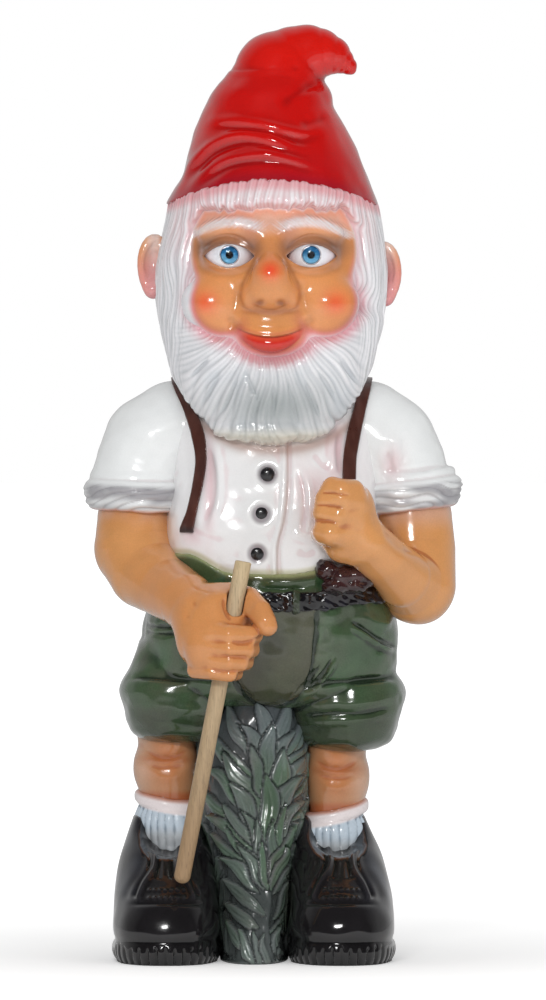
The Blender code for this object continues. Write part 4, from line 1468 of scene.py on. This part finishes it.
TROUSER_FOLDS = (
    (((-110, 206), (-92, 209), (-66, 208), (-44, 207), (-26, 204)), 2.4, -1.7, 0),
    (((14, 200), (30, 203), (56, 206), (80, 208), (99, 207)), 2.4, -1.7, 0),
    (((-104, 190), (-80, 187), (-50, 184), (-26, 184)), 4.5, 1.0, 0),
    (((-100, 180), (-78, 176), (-50, 173), (-28, 176)), 3.5, -0.8, 0),
    (((20, 184), (44, 189), (70, 190), (96, 196)), 3.5, 1.0, 0),
    (((20, 180), (44, 182.5), (70, 183), (94, 188)), 2.6, -1.0, 0),
    (((20, 174), (44, 176), (70, 178), (92, 182)), 3.0, 0.9, 0),
    (((14, 192), (22, 201), (32, 212), (38, 221)), 2.0, -1.5, 0),
    (((24, 196), (34, 204), (43, 216), (47, 226)), 2.2, -1.3, 1),
    (((-12, 192), (-22, 202), (-29, 214)), 2.0, -1.3, 0),
    (((58, 250), (70, 242), (82, 234), (95, 228)), 2.2, -1.8, 1),
    (((62, 256), (76, 250), (90, 246)), 3.5, 1.0, 0),
    (((-96, 248), (-84, 246), (-68, 247)), 1.8, -1.3, 0),
    (((-96, 243), (-84, 241.5), (-68, 242)), 1.8, -1.1, 0),
    (((-8, 281), (10, 280), (26, 281), (42, 284)), 2.2, 1.3, 0),
    (((-10, 276), (10, 275), (28, 276)), 1.6, -1.2, 0),
    (((44, 262), (46, 246), (45, 228)), 5.0, 1.0, 0),
    (((-60, 238), (-66, 224), (-62, 212)), 5.0, -1.0, 0),
)


BRACE_END = (  # the middle of each lump, its half width and half height
    (41, -72, 289, 9, 8),
    (52, -75, 284, 9, 9),
    (63, -72, 285, 9, 8),
    (48, -76, 277, 11, 6),
    (62, -73, 277, 9, 6),
    (70, -68, 281, 6, 6),
)


def sculpt_belt():
    """A thick rough band, with the brace's lumpy end hanging over it."""
    body = hips()
    low = corners("belt")[0]
    clay = Clay((-102, -92, low[2] - 12), (102, 78, low[2] + 42), 0.8)

    def band(x, y, z):
        middle = low[2] + 6.5 + 6 * smoothstep(28, 78, x)
        around = body.distance(x, y, z)
        return np.maximum(np.maximum(around - 3.4, -around - 1.0), np.abs(z - middle) - 6.4)

    clay.add(Shape(band, clay.low, (102, 78, low[2] + 42)))
    clay.field = clay.field - 0.6
    for x, y, z, wide, tall in BRACE_END:
        clay.add(ball((x, y, z), (wide, 9, tall)), 2.5)
    skin = clay.skin()
    x, y, z = skin.xyz
    around = np.arctan2(x, -y) * 78
    braid = strands(z * 0.8 + around * 0.5, around, 4.6, 26.0, 111)
    lump = bump_at(x, z, 54, 286, 19, 11) * smoothstep(-50, -64, y)
    rough = 1.5 * noise(x / 4.5, y / 4.5, z / 4.5, 112)
    skin.push((braid - 0.5) * 0.9 * (1 - lump) + rough * (1 - 0.65 * np.clip(lump * 1.5, 0, 1)))
    loop_x = np.abs(x - 19)
    skin.push(1.3 * smoothstep(3.2, 2.2, loop_x) * smoothstep(-40, -60, y))
    hollow = skin.hollows(2)
    skin.fill(srgb(15, 14, 18))
    skin.tint(srgb(40, 40, 50), np.clip(noise(x / 6, y / 6, z / 6, 113), 0, 1) * 0.6)
    skin.tint(srgb(66, 36, 36), np.clip(lump * 1.6, 0, 1) * 0.85)
    skin.tint(srgb(60, 70, 52), smoothstep(3.0, 2.2, loop_x) * smoothstep(-40, -60, y) * 0.8)
    # near black in the hollows of the braid: partly the belt's own dark paint, partly painted shade
    skin.tint(srgb(8, 8, 10), smoothstep(0.1, 0.8, hollow) * 0.8)
    return place(skin, "belt_sculpt", BASE, PAINT_BELT, stands_for=["belt"])


LEG = ((98, 18.5, 19), (112, 20.5, 20.5), (128, 22, 22), (140, 23, 23), (150, 22, 22.5), (164, 23.5, 24), (190, 22, 22))
LEG_SPOTS = {"left": (48.5, 0.0), "right": (-76.0, 8.0)}  # the middle of each, and how much higher it is


def sculpt_legs():
    for name, (middle, lift) in LEG_SPOTS.items():
        side = 1 if name == "left" else -1
        clay = Clay((middle - 32, -40, 92), (middle + 32, 34, 212), 0.9)
        clay.add(loft([(z + lift, middle, -5, hx, hy) for z, hx, hy in LEG], power=2.1, ends=6))
        clay.add(ball((middle - side * 1, -18, 150 + lift), (13, 10, 13)), 8)
        clay.add(ball((middle + side * 3, 9, 132 + lift), (17, 12, 22)), 10)
        clay.add(ball((middle + side * 10, -8, 132 + lift), (14, 14, 15)), 8)
        skin = clay.skin()
        for path, width, height in LEG_LINES:
            skin.stroke(curve([(middle + side * px, pz + lift) for px, pz in path]), width, height, fade=0.3)
        x, y, z = skin.xyz
        skin.push(0.5 * noise(x / 12, y / 12, z / 12, 121))
        hollow = skin.hollows(4)
        skin.fill(srgb(176, 132, 96))
        skin.tint(srgb(206, 124, 68), 0.75 * smoothstep(-8, -24, y) * bump_at(x, z, middle, 140 + lift, 15, 26))
        skin.tint(srgb(216, 178, 156), 0.55 * bump_at(x, z, middle + side * 20, 135 + lift, 8, 30))
        # darker band across the knee crease: partly the figure's airbrushed shading, partly painted shade
        skin.tint(srgb(160, 84, 44), 0.65 * bump_at(x, z, middle, 140 + lift, 18, 3.5) * smoothstep(0, -15, y))
        skin.tint(srgb(176, 88, 44), 0.75 * smoothstep(118 + lift, 112 + lift, z))
        # deeper orange in the creases: partly the figure's airbrushed shading, partly painted shade
        skin.tint(HAND_DEEP, smoothstep(0.05, 0.8, hollow) * 0.7)
        place(skin, f"leg_{name}_sculpt", BASE, PAINT_HAND, stands_for=[f"leg_{name}"])


LEG_LINES = (
    (((-18, 150), (-8, 142), (6, 141), (18, 148)), 3.0, -1.4),
    (((-18, 138), (-6, 134.5), (8, 134), (18, 139)), 3.0, -1.0),
    (((-16, 160), (-10, 166), (4, 167), (14, 161)), 3.5, -0.8),
    (((-12, 128), (0, 126), (12, 127)), 3.0, 0.7),
)


def sculpt_socks():
    for name, (middle, lift) in LEG_SPOTS.items():
        side = 1 if name == "left" else -1
        middle = middle - side * 1.5
        clay = Clay((middle - 34, -44, 48), (middle + 34, 36, 146), 0.8)
        slant = 0.2 if name == "left" else 0.13
        ribbed = [(z + lift, middle, cy, hx, hy) for z, cy, hx, hy in SOCK]
        clay.add(loft(ribbed, power=2.1, ends=2))

        def band(x, y, z):
            radius = np.hypot(x - middle, (y + 5) * 0.97)
            level = z - lift - 107.5 - slant * side * (x - middle) - 0.14 * (y + 12)
            return np.hypot(np.maximum(np.abs(level) - 1.2, 0), np.maximum(radius - 21.8, 0)) - 3.9

        clay.add(Shape(band, (middle - 30, -36, 90 + lift), (middle + 30, 28, 126 + lift)), 0.5)

        def hollow_leg(x, y, z):
            return np.maximum(np.hypot(x - middle, (y + 5) * 0.97) - 19.0, 106 + lift - z)

        clay.carve(hollow_leg, 2.0)
        skin = clay.skin()
        x, y, z = skin.xyz
        around = np.arctan2(x - middle, -(y + 6)) * 24
        level = z - lift - slant * side * (x - middle) - 0.14 * (y + 12)
        below = smoothstep(103.5, 101.5, level)
        ribs = strands(around, z, 5.6, 60, 132)
        skin.push(below * 1.5 * (ribs - 0.6))
        skin.push(0.5 * noise(x / 9, y / 9, z / 6, 133))
        hollow = skin.hollows(2)
        skin.fill(srgb(236, 226, 226))
        skin.tint(srgb(190, 116, 84), 0.8 * smoothstep(109.5, 112.5, level))
        skin.tint(srgb(194, 208, 220), below)
        # blue-grey between the ribs: partly the sock's own paint, partly painted shade
        skin.tint(srgb(98, 118, 138), below * smoothstep(0.1, 0.8, hollow) * 0.8)
        skin.tint(srgb(150, 142, 132), below * 0.5 * smoothstep(92 + lift, 82 + lift, z))
        # darker in the band's creases: partly the figure's airbrushed shading, partly painted shade
        skin.tint(srgb(136, 108, 104), 0.5 * smoothstep(0.3, 0.9, hollow) * (1 - below))
        place(skin, f"sock_{name}_sculpt", BASE, PAINT_SOCK, stands_for=[f"sock_{name}"])


SOCK = ((54, -8, 20, 21), (76, -8, 24, 26), (88, -8, 25.5, 27), (98, -7, 25.5, 26.5), (104, -6, 23, 24), (108, -5, 21, 22))


# ---------------------------------------------------------------- shoes

SHOE = (
    (0, 0, -38, 36.5, 71),
    (4, 0, -38, 39, 74),
    (14, 0, -38, 39.4, 74.3),
    (17, 0, -38, 38, 72.5),
    (24, 0, -38, 38.5, 72.5),
    (42, 0, -36, 38.5, 67),
    (60, 0, -30, 37, 56),
    (78, 0, -20, 34, 43),
    (94, 0, -12, 28.5, 34),
    (106, 0, -7, 24.5, 29),
)


def sculpt_shoes():
    for name in ("left", "right"):
        low, high = corners(f"shoe_{name}")
        middle = (low[0] + high[0]) / 2
        side = 1 if name == "left" else -1
        clay = Clay((middle - 46, -120, -4), (middle + 46, 44, 116), 0.9)
        inward = -7.0 * side * (name == "left")
        shifted = [(z, middle + inward * max(z - 45, 0) / 60, cy, hx, hy) for z, _, cy, hx, hy in SHOE]
        clay.add(loft(shifted, power=2.3, ends=1.5))
        clay.add(ball((middle, -64, 24), (38.5, 47, 32)), 5)
        clay.cut(ball((middle - side * 2, -40, 100), (22, 30, 20), (30, 0, 0)), 10)

        def ground(x, y, z):
            return -z + 0.0 * (x + y)

        clay.keep(ground, 0.8)
        skin = clay.skin()
        for path, width, height, fold in SHOE_LINES:
            for mirror in (1, -1):
                drawn = [(middle + side * mirror * px, pz) for px, pz in path]
                skin.stroke(curve(drawn), width, height, fold * side * mirror, fade=0.1)
                if not any(px > 0 for px, _ in path):
                    break
        x, y, z = skin.xyz
        normal = skin.normals()
        facing = smoothstep(0.0, 0.4, -normal[:, 1])
        around = np.arctan2(x - middle, -(y + 38) * 0.62) * 42
        walls = smoothstep(0.25, 0.6, np.hypot(normal[:, 0], normal[:, 1]))
        welt = z - 17.5
        skin.push(-0.5 * np.exp(-((welt / 2.4) ** 2)) * walls)
        ragged = 14.5 + 3.0 * noise(around / 7, 0.0, 0.0, 143)
        skin.push(-1.7 * smoothstep(ragged, ragged - 5.0, z) * walls * grooves(around, 6.2))
        for row in (54.5, 49.0):
            dashes = 0.5 + 0.5 * np.cos((x - middle) / 4.2 * 2 * math.pi)
            skin.push(0.8 * facing * np.exp(-(((z - row) / 1.1) ** 2)) * smoothstep(16, 12, np.abs(x - middle)) * dashes)
        cap = 43.0 + 2.5 * np.cos((x - middle) / 26)
        skin.push(-0.9 * np.exp(-(((z - cap) / 1.6) ** 2)) * facing * smoothstep(30, 20, np.abs(x - middle)))
        skin.push(0.5 * noise(x / 16, y / 16, z / 16, 141))
        skin.stand()
        hollow = skin.hollows(3)
        skin.fill(srgb(24, 22, 24))
        outer = smoothstep(8, 34, side * (x - middle)) * smoothstep(34, 60, z)
        skin.tint(srgb(60, 66, 78), outer * np.clip(0.4 + 0.7 * noise(x / 12, y / 12, z / 18, 142), 0, 1) * 0.6)
        skin.tint(srgb(36, 28, 27), 0.4 * smoothstep(55, 75, z) * smoothstep(20, 8, np.abs(x - middle)))
        # painted sheen: ridges of the black shoe that face forward are lifted to grey
        skin.tint(srgb(60, 58, 62), smoothstep(0.0, -0.9, hollow) * 0.3 * facing)
        # near black in the creases: partly the shoes' own dark paint, partly painted shade
        skin.tint(srgb(6, 6, 8), smoothstep(0.1, 0.9, hollow) * 0.8)
        skin.tint(srgb(14, 13, 14), 0.7 * smoothstep(20, 12, z))
        place(skin, f"shoe_{name}_sculpt", BASE, PAINT_SHOE, stands_for=[f"shoe_{name}"])


def grooves(across, apart):
    """Narrow furrows a set distance apart, 1 in the middle of each."""
    lane = across / apart - np.round(across / apart)
    return np.exp(-((lane / 0.16) ** 2))


SHOE_LINES = (
    (((13, 86), (10, 78), (11, 70), (18, 59), (23, 47)), 2.6, 1.9, -1),
    (((17, 90), (16, 78), (19, 68), (27, 56), (31, 46)), 3.0, -1.0, 0),
    (((6, 84), (5, 74), (6, 62)), 2.2, -0.7, 0),
)


# ---------------------------------------------------------------- bush

BUSH_FRONT = (
    (0, -12, -10, 26, 86),
    (12, -12, -9, 25.5, 84),
    (30, -12, -8, 26, 79),
    (60, -12, -6, 29, 70),
    (85, -12, -4, 33, 65),
    (110, -13.5, -2, 40, 60),
    (145, -14.5, 0, 42.5, 56),
    (175, -12, 0, 38, 52),
    (197, -8, 0, 28, 46),
)
BUSH_BACK = (
    (0, -12, 48, 62, 32),
    (30, -12, 49, 60, 33),
    (60, -12, 50, 56, 34),
    (120, -12, 46, 47, 33),
    (178, -8, 36, 37, 29),
    (198, -6, 30, 29, 23),
)
FRONT_LEAVES = (  # the foot and tip of each leaf, and its half width, from the back of the heap to its front
    ((-8, 140), (-30, 186), 8.5),
    ((-4, 140), (-10, 192), 9),
    ((2, 140), (12, 192), 9),
    ((4, 136), (28, 182), 8.5),
    ((-12, 128), (-44, 166), 8.5),
    ((6, 126), (34, 164), 8),
    ((-4, 124), (-20, 172), 9),
    ((4, 124), (16, 172), 8.5),
    ((-2, 130), (-2, 176), 8.5),
    ((-14, 112), (-50, 144), 8),
    ((8, 110), (36, 144), 7.5),
    ((-10, 108), (-36, 154), 8.5),
    ((6, 108), (26, 152), 8),
    ((-4, 118), (-14, 158), 8),
    ((3, 116), (10, 158), 7.5),
    ((-14, 94), (-49, 124), 7),
    ((8, 92), (32, 126), 7),
    ((-8, 92), (-30, 134), 8),
    ((5, 92), (20, 136), 7.5),
    ((-12, 78), (-47, 106), 6.5),
    ((6, 76), (29, 108), 6),
    ((-2, 88), (-1.5, 136), 11),
    ((-8, 76), (-36, 116), 6),
    ((4, 74), (22, 118), 6),
    ((-5, 68), (-23, 112), 5.8),
    ((2, 68), (11, 114), 5.6),
    ((-10, 64), (-42, 92), 5.6),
    ((4, 62), (26, 92), 5.4),
    ((-3, 62), (-12, 108), 5.2),
    ((-1, 60), (1, 106), 5.0),
    ((-6, 58), (-31, 96), 5.2),
    ((1, 58), (17, 98), 5.2),
    ((-8, 54), (-40, 76), 5.2),
    ((2, 52), (25, 74), 5.2),
    ((-4, 56), (-24, 86), 4.6),
    ((0, 55), (11, 86), 4.4),
    ((-2, 56), (-7, 92), 4.2),
    ((2, 32), (17, 62), 6.5),
    ((-5, 36), (-34, 63), 7.5),
    ((-8, 26), (-35, 44), 6),
    ((2, 22), (18, 44), 6),
    ((-10, 4), (-32, 32), 5.5),
    ((-14, -4), (-24, 26), 5),
    ((-8, -6), (-13, 24), 4.6),
    ((-1, -6), (-3, 22), 4.4),
    ((4, -6), (7, 26), 4.8),
    ((9, -4), (15, 24), 4.6),
)


def leaf_relief(u, z, leaves, height, shade, line):
    """Lays leaves over a surface whose points lie at (u, z), one after another.

    Changes height, in millimetres, shade, from 0 at a leaf's edge to 1 inside, and line, 1 along its border.
    """
    u, z = u + 3.2 * noise(u / 13, z / 19, 0.0, 155), z + 3.2 * noise(u / 15, z / 15, 3.0, 156)
    for number, (foot, tip, half) in enumerate(leaves):
        step = np.subtract(tip, foot)
        length = np.hypot(*step)
        du, dz = u - foot[0], z - foot[1]
        along = (du * step[0] + dz * step[1]) / length**2
        bend = 0.3 * math.sin(number * 2.4) * length * along * (1 - along)
        sway = 0.05 * length * math.cos(number * 1.7) * np.sin(along * 6.3)
        across = (dz * step[0] - du * step[1]) / length + bend + sway
        profile = np.clip(along, 0, 1) ** 0.75 * np.clip(1 - along, 0, 1) ** 0.8 * 2.2
        width = half * profile + 0.01
        inside = (along > 0) & (along < 1) & (np.abs(across) < width)
        outside = (along > -0.04) & (along < 1.04) & (np.abs(across) < width + 1.1) & ~inside
        share = np.clip(across / width, -1, 1)
        dome = 1.0 + 1.9 * np.sqrt(np.clip(1 - share**2, 0, 1)) + 1.6 * along**2
        vein = 1.1 * np.exp(-((across / 0.9) ** 2)) * smoothstep(0.95, 0.55, along)
        creases = 0.6 * np.exp(-(((np.abs(share) - 0.55) / 0.13) ** 2)) * smoothstep(0.9, 0.5, along)
        lift = dome - vein - creases
        height[inside] = lift[inside]
        height[outside] = np.minimum(height[outside], 0.3)
        line[inside] = 0.0
        line[outside] = 1.0
        edge = smoothstep(0.45, 1.0, np.abs(share))
        tone = (1 - edge) * (0.7 + 0.3 * math.sin(number * 5.1))
        shade[inside] = tone[inside]


def heap_of_leaves(low_u, high_u, low_z, high_z, seed):
    """Staggered rows of upright leaves that splay a little, from the top row down so that lower leaves overlap."""
    leaves = []
    row = 0
    z = high_z
    while z > low_z:
        u = low_u + (row % 2) * 8.0
        while u < high_u:
            wander = lattice(int(u), row, 3, seed)
            splay = 14.0 * lattice(int(u), row, 5, seed)
            leaves.append(((u + 3 * wander, z - 16), (u + splay, z + 24 + 6 * wander), 7.5 + wander))
            u += 15.0
        z -= 16.0
        row += 1
    return leaves


def sculpt_bush():
    clay = Clay((-80, -102, -4), (56, 90, 204), 0.9)
    clay.add(loft(BUSH_FRONT, power=2.3, ends=3))
    clay.add(loft(BUSH_BACK, power=2.3, ends=3), 6)
    plug_low, plug_high = corners("filler_plug")
    plug = (plug_low + plug_high) / 2

    def socket(x, y, z):
        away = np.hypot(x - plug[0], y - plug[1])
        wide = np.maximum(away - 19.6, z - 4.9)
        return np.minimum(wide, np.maximum(away - 15.6, z - 16.0))

    def ground(x, y, z):
        return -z + 0.0 * (x + y)

    clay.keep(ground, 0.8)
    clay.carve(socket, 0.4)
    skin = clay.skin()
    x, y, z = skin.xyz
    normal = skin.normals()
    walls = smoothstep(0.15, 0.5, np.hypot(normal[:, 0], normal[:, 1])) * smoothstep(0.5, 3.0, z)
    walls = walls * smoothstep(24, 27, np.hypot(x - plug[0], y - plug[1]) + 10 * smoothstep(10, 30, z))
    arc = np.arctan2(x + 12, -(y - 20)) * 62
    height = 0.5 * noise(x / 4, y / 4, z / 9, 151)
    shade, line = np.zeros(len(x)), np.full(len(x), 0.6)
    leaf_relief(arc, z, heap_of_leaves(-198, 198, 4, 180, 152), height, shade, line)
    ahead = [0.5 * noise(x / 4, y / 4, z / 9, 153), np.zeros(len(x)), np.full(len(x), 0.6)]
    leaf_relief(x, z, FRONT_LEAVES, *ahead)
    front = smoothstep(0.15, 0.4, -normal[:, 1]) * smoothstep(-10, -18, y)
    height, shade, line = (a + (b - a) * front for a, b in zip((height, shade, line), ahead))
    skin.push((height - 1.6) * walls * 1.15)
    skin.smooth(1)
    stem = curve([(-2, 60), (-1, 44), (-3, 26), (1, 10), (3, 0)])
    skin.stroke(stem, 1.8, 2.2, fade=0.05)
    skin.stand()
    x, y, z = skin.xyz
    broad = noise(x / 13, y / 13, z / 15, 154)
    skin.fill(srgb(98, 104, 104))
    skin.tint(srgb(84, 112, 88), shade * np.clip(0.75 + 0.5 * broad, 0, 1))
    skin.tint(srgb(104, 98, 96), np.clip(broad, 0, 1) * 0.6)
    skin.tint(srgb(104, 114, 122), 0.5 * smoothstep(135, 180, z))
    skin.tint(srgb(70, 76, 72), 0.45 * smoothstep(70, 50, z) * smoothstep(22, 34, z))
    skin.tint(srgb(116, 124, 122), 0.5 * smoothstep(30, 12, z))
    skin.tint(srgb(66, 92, 62), 0.7 * bump_at(x, z, -2, 116, 12, 30) * shade)
    skin.tint(srgb(34, 40, 40), line * 0.75)
    # darker in the creases between leaves: partly the bush's own paint, partly painted shade
    skin.tint(srgb(40, 46, 44), smoothstep(0.2, 0.9, skin.hollows(1)) * 0.5)
    return place(skin, "bush_sculpt", BASE, PAINT_BUSH, stands_for=["bush"])


# ---------------------------------------------------------------- stick, buttons and plug


def turned(profile, sides=48):
    """A closed turned form from (radius, height) pairs round the z axis, lowest first."""
    points, quads = [], []
    for radius, height in profile:
        for i in range(sides):
            angle = 2 * math.pi * i / sides
            points.append((radius * math.cos(angle), radius * math.sin(angle), height))
    for ring in range(len(profile) - 1):
        for i in range(sides):
            j = (i + 1) % sides
            quads.append((ring * sides + i, ring * sides + j, (ring + 1) * sides + j, (ring + 1) * sides + i))
    skin = Skin(np.array(points), np.array(quads))
    skin.points = np.array(points)
    return skin


def rounded(radius, low, high, low_round, high_round, steps=8):
    """The profile of a round bar with rounded ends."""
    profile = [(0.02, low)]
    for step in range(steps + 1):
        angle = math.radians(90 * step / steps)
        profile.append((radius - low_round * (1 - math.sin(angle)), low + low_round * (1 - math.cos(angle))))
    for height in np.linspace(low + low_round, high - high_round, 40)[1:-1]:
        profile.append((radius, height))
    for step in range(steps + 1):
        angle = math.radians(90 * step / steps)
        profile.append((radius - high_round * (1 - math.cos(angle)), high - high_round * (1 - math.sin(angle))))
    profile.append((0.02, high))
    return profile


def sculpt_stick():
    lean = math.atan(STICK_LEAN)
    flat_share = 2 * STICK_RADIUS * math.sin(lean)
    length = (stick_high[2] - stick_low[2] - flat_share) / math.cos(lean)
    skin = turned(rounded(STICK_RADIUS, -length / 2, length / 2, 5.5, 1.2))
    x, y, z = skin.xyz
    skin.fill(srgb(190, 168, 134))
    skin.tint(srgb(150, 118, 84), 0.8 * smoothstep(length / 2 - 40, -length / 2, z))
    skin.tint(srgb(204, 182, 142), 0.6 * smoothstep(length / 2 - 30, length / 2, z))
    spin = np.array(Euler((0, lean, 0)).to_matrix())
    skin.points = skin.points @ spin.T
    place(skin, "stick_sculpt", STICK_MIDDLE, wood_material(), body="stick", stands_for=["stick"])


def wood_material():
    """Bare beech: fine grain along the stick, small dark flecks, and a dull surface."""
    nodes = Nodes("beech")
    paint = nodes.make("ShaderNodeAttribute", attribute_name="paint").outputs["Color"]
    turned_space = nodes.make(
        "ShaderNodeMapping", {"Vector": nodes.position(), "Rotation": (0.0, -math.atan(STICK_LEAN), 0.0),
                              "Scale": (1.0, 1.0, 0.06)}, vector_type="TEXTURE"
    ).outputs["Vector"]
    squeezed = nodes.make(
        "ShaderNodeMapping", {"Vector": nodes.position(), "Scale": (1.0, 1.0, 0.07)}
    ).outputs["Vector"]
    grain = nodes.range(nodes.noise(700.0, 4.0, squeezed), 0.86, 1.1, 0.3, 0.7)
    flecks = nodes.range(nodes.noise(1500.0, 2.0, squeezed), 0.7, 1.0, 0.32, 0.42)
    both = nodes.make("ShaderNodeMath", {0: grain, 1: flecks}, operation="MULTIPLY").outputs[0]
    height = nodes.noise(900.0, 3.0, squeezed)
    nodes.set(base_color=nodes.scaled(paint, both), roughness=nodes.range(grain, 0.6, 0.45, 0.86, 1.1))
    nodes.set(normal=nodes.bump(height, 0.12 * MM, 0.5))
    return nodes.material


def sculpt_buttons():
    for name in BUTTONS:
        low, high = corners(f"button_{name}")
        at = (low + high) / 2
        radius = (high[0] - low[0]) / 2 + 0.3
        skin = turned([
            (0.02, -8.0), (1.6, -8.0), (1.6, -1.0), (radius - 1.0, -0.6), (radius, 0.4), (radius, 1.0),
            (radius - 0.4, 1.9), (radius - 1.3, 2.5), (radius - 2.6, 3.0), (radius - 3.8, 3.2), (0.02, 3.3),
        ])
        skin.fill(srgb(24, 22, 24))
        x, y, z = skin.xyz
        skin.tint(srgb(50, 48, 54), 0.5 * smoothstep(radius - 2, radius, np.hypot(x, y)))
        skin.points = np.stack([x, -z, y], 1)
        skin.quads = skin.quads
        at[1] = low[1] + 2.4
        place(skin, f"button_{name}_gloss", at, PAINT_BUTTON, stands_for=[f"button_{name}"])


def sculpt_plug():
    low, high = corners("filler_plug")
    at = (low + high) / 2
    at[2] = low[2]
    tall = high[2] - low[2]
    flange = (high[0] - low[0]) / 2
    skin = turned([
        (0.02, 0.9), (5.0, 0.9), (5.6, 0.1), (7.0, 0.0), (7.6, 0.8), (flange - 3.2, 0.8), (flange - 2.6, 0.1),
        (flange - 1.0, 0.0), (flange - 0.2, 0.5), (flange, 1.4), (flange - 0.3, 2.6), (flange - 1.2, 3.0),
        (14.6, 3.0), (14.4, 5.5), (15.0, 6.6), (14.4, 7.6), (14.9, 8.8), (14.3, 9.8), (14.0, tall - 1.2), (13.0, tall),
        (0.02, tall),
    ])
    skin.fill(srgb(46, 44, 42))
    place(skin, "plug_sculpt", at, PAINT_RUBBER, body="filler_plug", stands_for=["filler_plug"])


# ---------------------------------------------------------------- stage


def build_stage():
    """A pale floor, soft studio light and a very long lens at chest height."""
    low, high = CAD_BOX
    scene = bpy.context.scene
    scene.view_settings.view_transform = "Standard"
    world = bpy.data.worlds.new("studio")
    world.use_nodes = True
    tree = world.node_tree
    rays = tree.nodes.new("ShaderNodeLightPath")
    heading = tree.nodes.new("ShaderNodeSeparateXYZ")
    tree.links.new(tree.nodes.new("ShaderNodeTexCoord").outputs["Generated"], heading.inputs[0])
    backdrop = tree.nodes.new("ShaderNodeMapRange")  # reflections show a bright backdrop and a dim room in front
    for key, value in (("From Min", -0.1), ("From Max", 0.65), ("To Min", 0.04), ("To Max", 0.5)):
        backdrop.inputs[key].default_value = value
    tree.links.new(heading.outputs["Y"], backdrop.inputs["Value"])
    soft = tree.nodes.new("ShaderNodeMix")
    soft.inputs[2].default_value = 0.58
    tree.links.new(rays.outputs["Is Glossy Ray"], soft.inputs[0])
    tree.links.new(backdrop.outputs["Result"], soft.inputs[3])
    level = tree.nodes.new("ShaderNodeMix")
    level.inputs[3].default_value = 1.0
    tree.links.new(rays.outputs["Is Camera Ray"], level.inputs[0])
    tree.links.new(soft.outputs[0], level.inputs[2])
    tree.links.new(level.outputs[0], tree.nodes["Background"].inputs["Strength"])
    tree.nodes["Background"].inputs["Color"].default_value = (1.0, 1.0, 1.0, 1.0)
    scene.world = world
    mesh = bpy.data.meshes.new("floor")
    reach = 14.0
    mesh.from_pydata([(-reach, -reach, 0), (reach, -reach, 0), (reach, reach, 0), (-reach, reach, 0)], [], [(0, 1, 2, 3)])
    floor = bpy.data.objects.new("floor", mesh)
    scene.collection.objects.link(floor)
    nodes = Nodes("floor_pale")
    shade = nodes.range(nodes.noise(3.0), 0.88, 0.92)
    away = nodes.make("ShaderNodeVectorMath", {0: nodes.position()}, operation="LENGTH").outputs["Value"]
    seen = nodes.make("ShaderNodeLightPath").outputs["Is Camera Ray"]
    fade = nodes.range(away, 0.3, 0.8, 0.15, 1.2)
    glow = nodes.make("ShaderNodeMath", {0: fade, 1: seen}, operation="MULTIPLY").outputs[0]
    nodes.set(base_color=nodes.make("ShaderNodeCombineColor", {0: shade, 1: shade, 2: shade}).outputs["Color"])
    nodes.set(emission_color=(1.0, 1.0, 1.0, 1.0), emission_strength=glow, roughness=1.0)
    mesh.materials.append(nodes.material)
    middle = (low + high) / 2
    for name, turn, height, size, power in STUDIO:
        lamp = bpy.data.lights.new(name, "AREA")
        lamp.shape = "RECTANGLE"
        lamp.size, lamp.size_y = size
        lamp.energy = power
        obj = bpy.data.objects.new(name, lamp)
        scene.collection.objects.link(obj)
        away = Vector((math.sin(math.radians(turn)), -math.cos(math.radians(turn)), 0)) * 1.6
        obj.location = middle + away + Vector((0, 0, height))
        obj.rotation_euler = (middle - obj.location).to_track_quat("-Z", "Y").to_euler()
        obj.visible_glossy = name == "key"
    camera = bpy.data.cameras.new("camera")
    camera.lens = 480.0
    obj = bpy.data.objects.new("camera", camera)
    scene.collection.objects.link(obj)
    tall = (high.z - low.z) * 1.07
    distance = tall * camera.lens / camera.sensor_width
    rise = math.radians(1.5)
    aim = Vector((middle.x, low.y * 0.3, middle.z - 0.0047))
    obj.location = aim + Vector((0, -math.cos(rise), math.sin(rise))) * distance
    obj.rotation_euler = (aim - obj.location).to_track_quat("-Z", "Y").to_euler()
    scene.camera = obj


STUDIO = (  # name, degrees to the side, height above the middle, size, watts
    ("key", -7, 0.5, (0.3, 0.17), 7.5),
    ("fill", 35, 0.1, (1.2, 1.2), 5.0),
    ("top", 0, 1.6, (1.2, 0.8), 2.5),
)

PAINT_SKIN = painted("skin_paint", subsurface=0.06)
PAINT_HAIR = painted("hair_paint", ripple=0.1, mottle=0.03)
PAINT_HAT = painted("hat_paint", gloss=0.14)
PAINT_SHIRT = painted("shirt_paint", ripple=0.2, mottle=0.02)
PAINT_HAND = painted("hand_paint", subsurface=0.05)
PAINT_LEATHER = painted("brace_paint", gloss=0.3, mottle=0.12)
PAINT_TROUSERS = painted("trouser_paint", gloss=0.15, mottle=0.14)
PAINT_BELT = painted("belt_paint", gloss=0.2, mottle=0.2)
PAINT_SOCK = painted("sock_paint", gloss=0.3, mottle=0.05)
PAINT_SHOE = painted("shoe_paint", gloss=0.14, mottle=0.15)
PAINT_BUTTON = painted("button_paint", gloss=0.3, ripple=0.05, mottle=0.1)
PAINT_BUSH = painted("bush_paint", gloss=0.2, mottle=0.12)
PAINT_RUBBER = painted("plug_rubber", gloss=0.5, mottle=0.1)



def sculpt_eyes():
    paint = eye_material()
    clear = clear_material()
    for side in ("left", "right"):
        sculpt_eye(side, paint, clear)


for build in (
    build_stage,
    sculpt_head,
    sculpt_eyes,
    sculpt_hair,
    sculpt_hat,
    sculpt_shirt,
    sculpt_sleeves,
    sculpt_braces,
    sculpt_right_arm,
    sculpt_left_arm,
    sculpt_trousers,
    sculpt_belt,
    sculpt_legs,
    sculpt_socks,
    sculpt_shoes,
    sculpt_bush,
    sculpt_stick,
    sculpt_buttons,
    sculpt_plug,
):
    build()
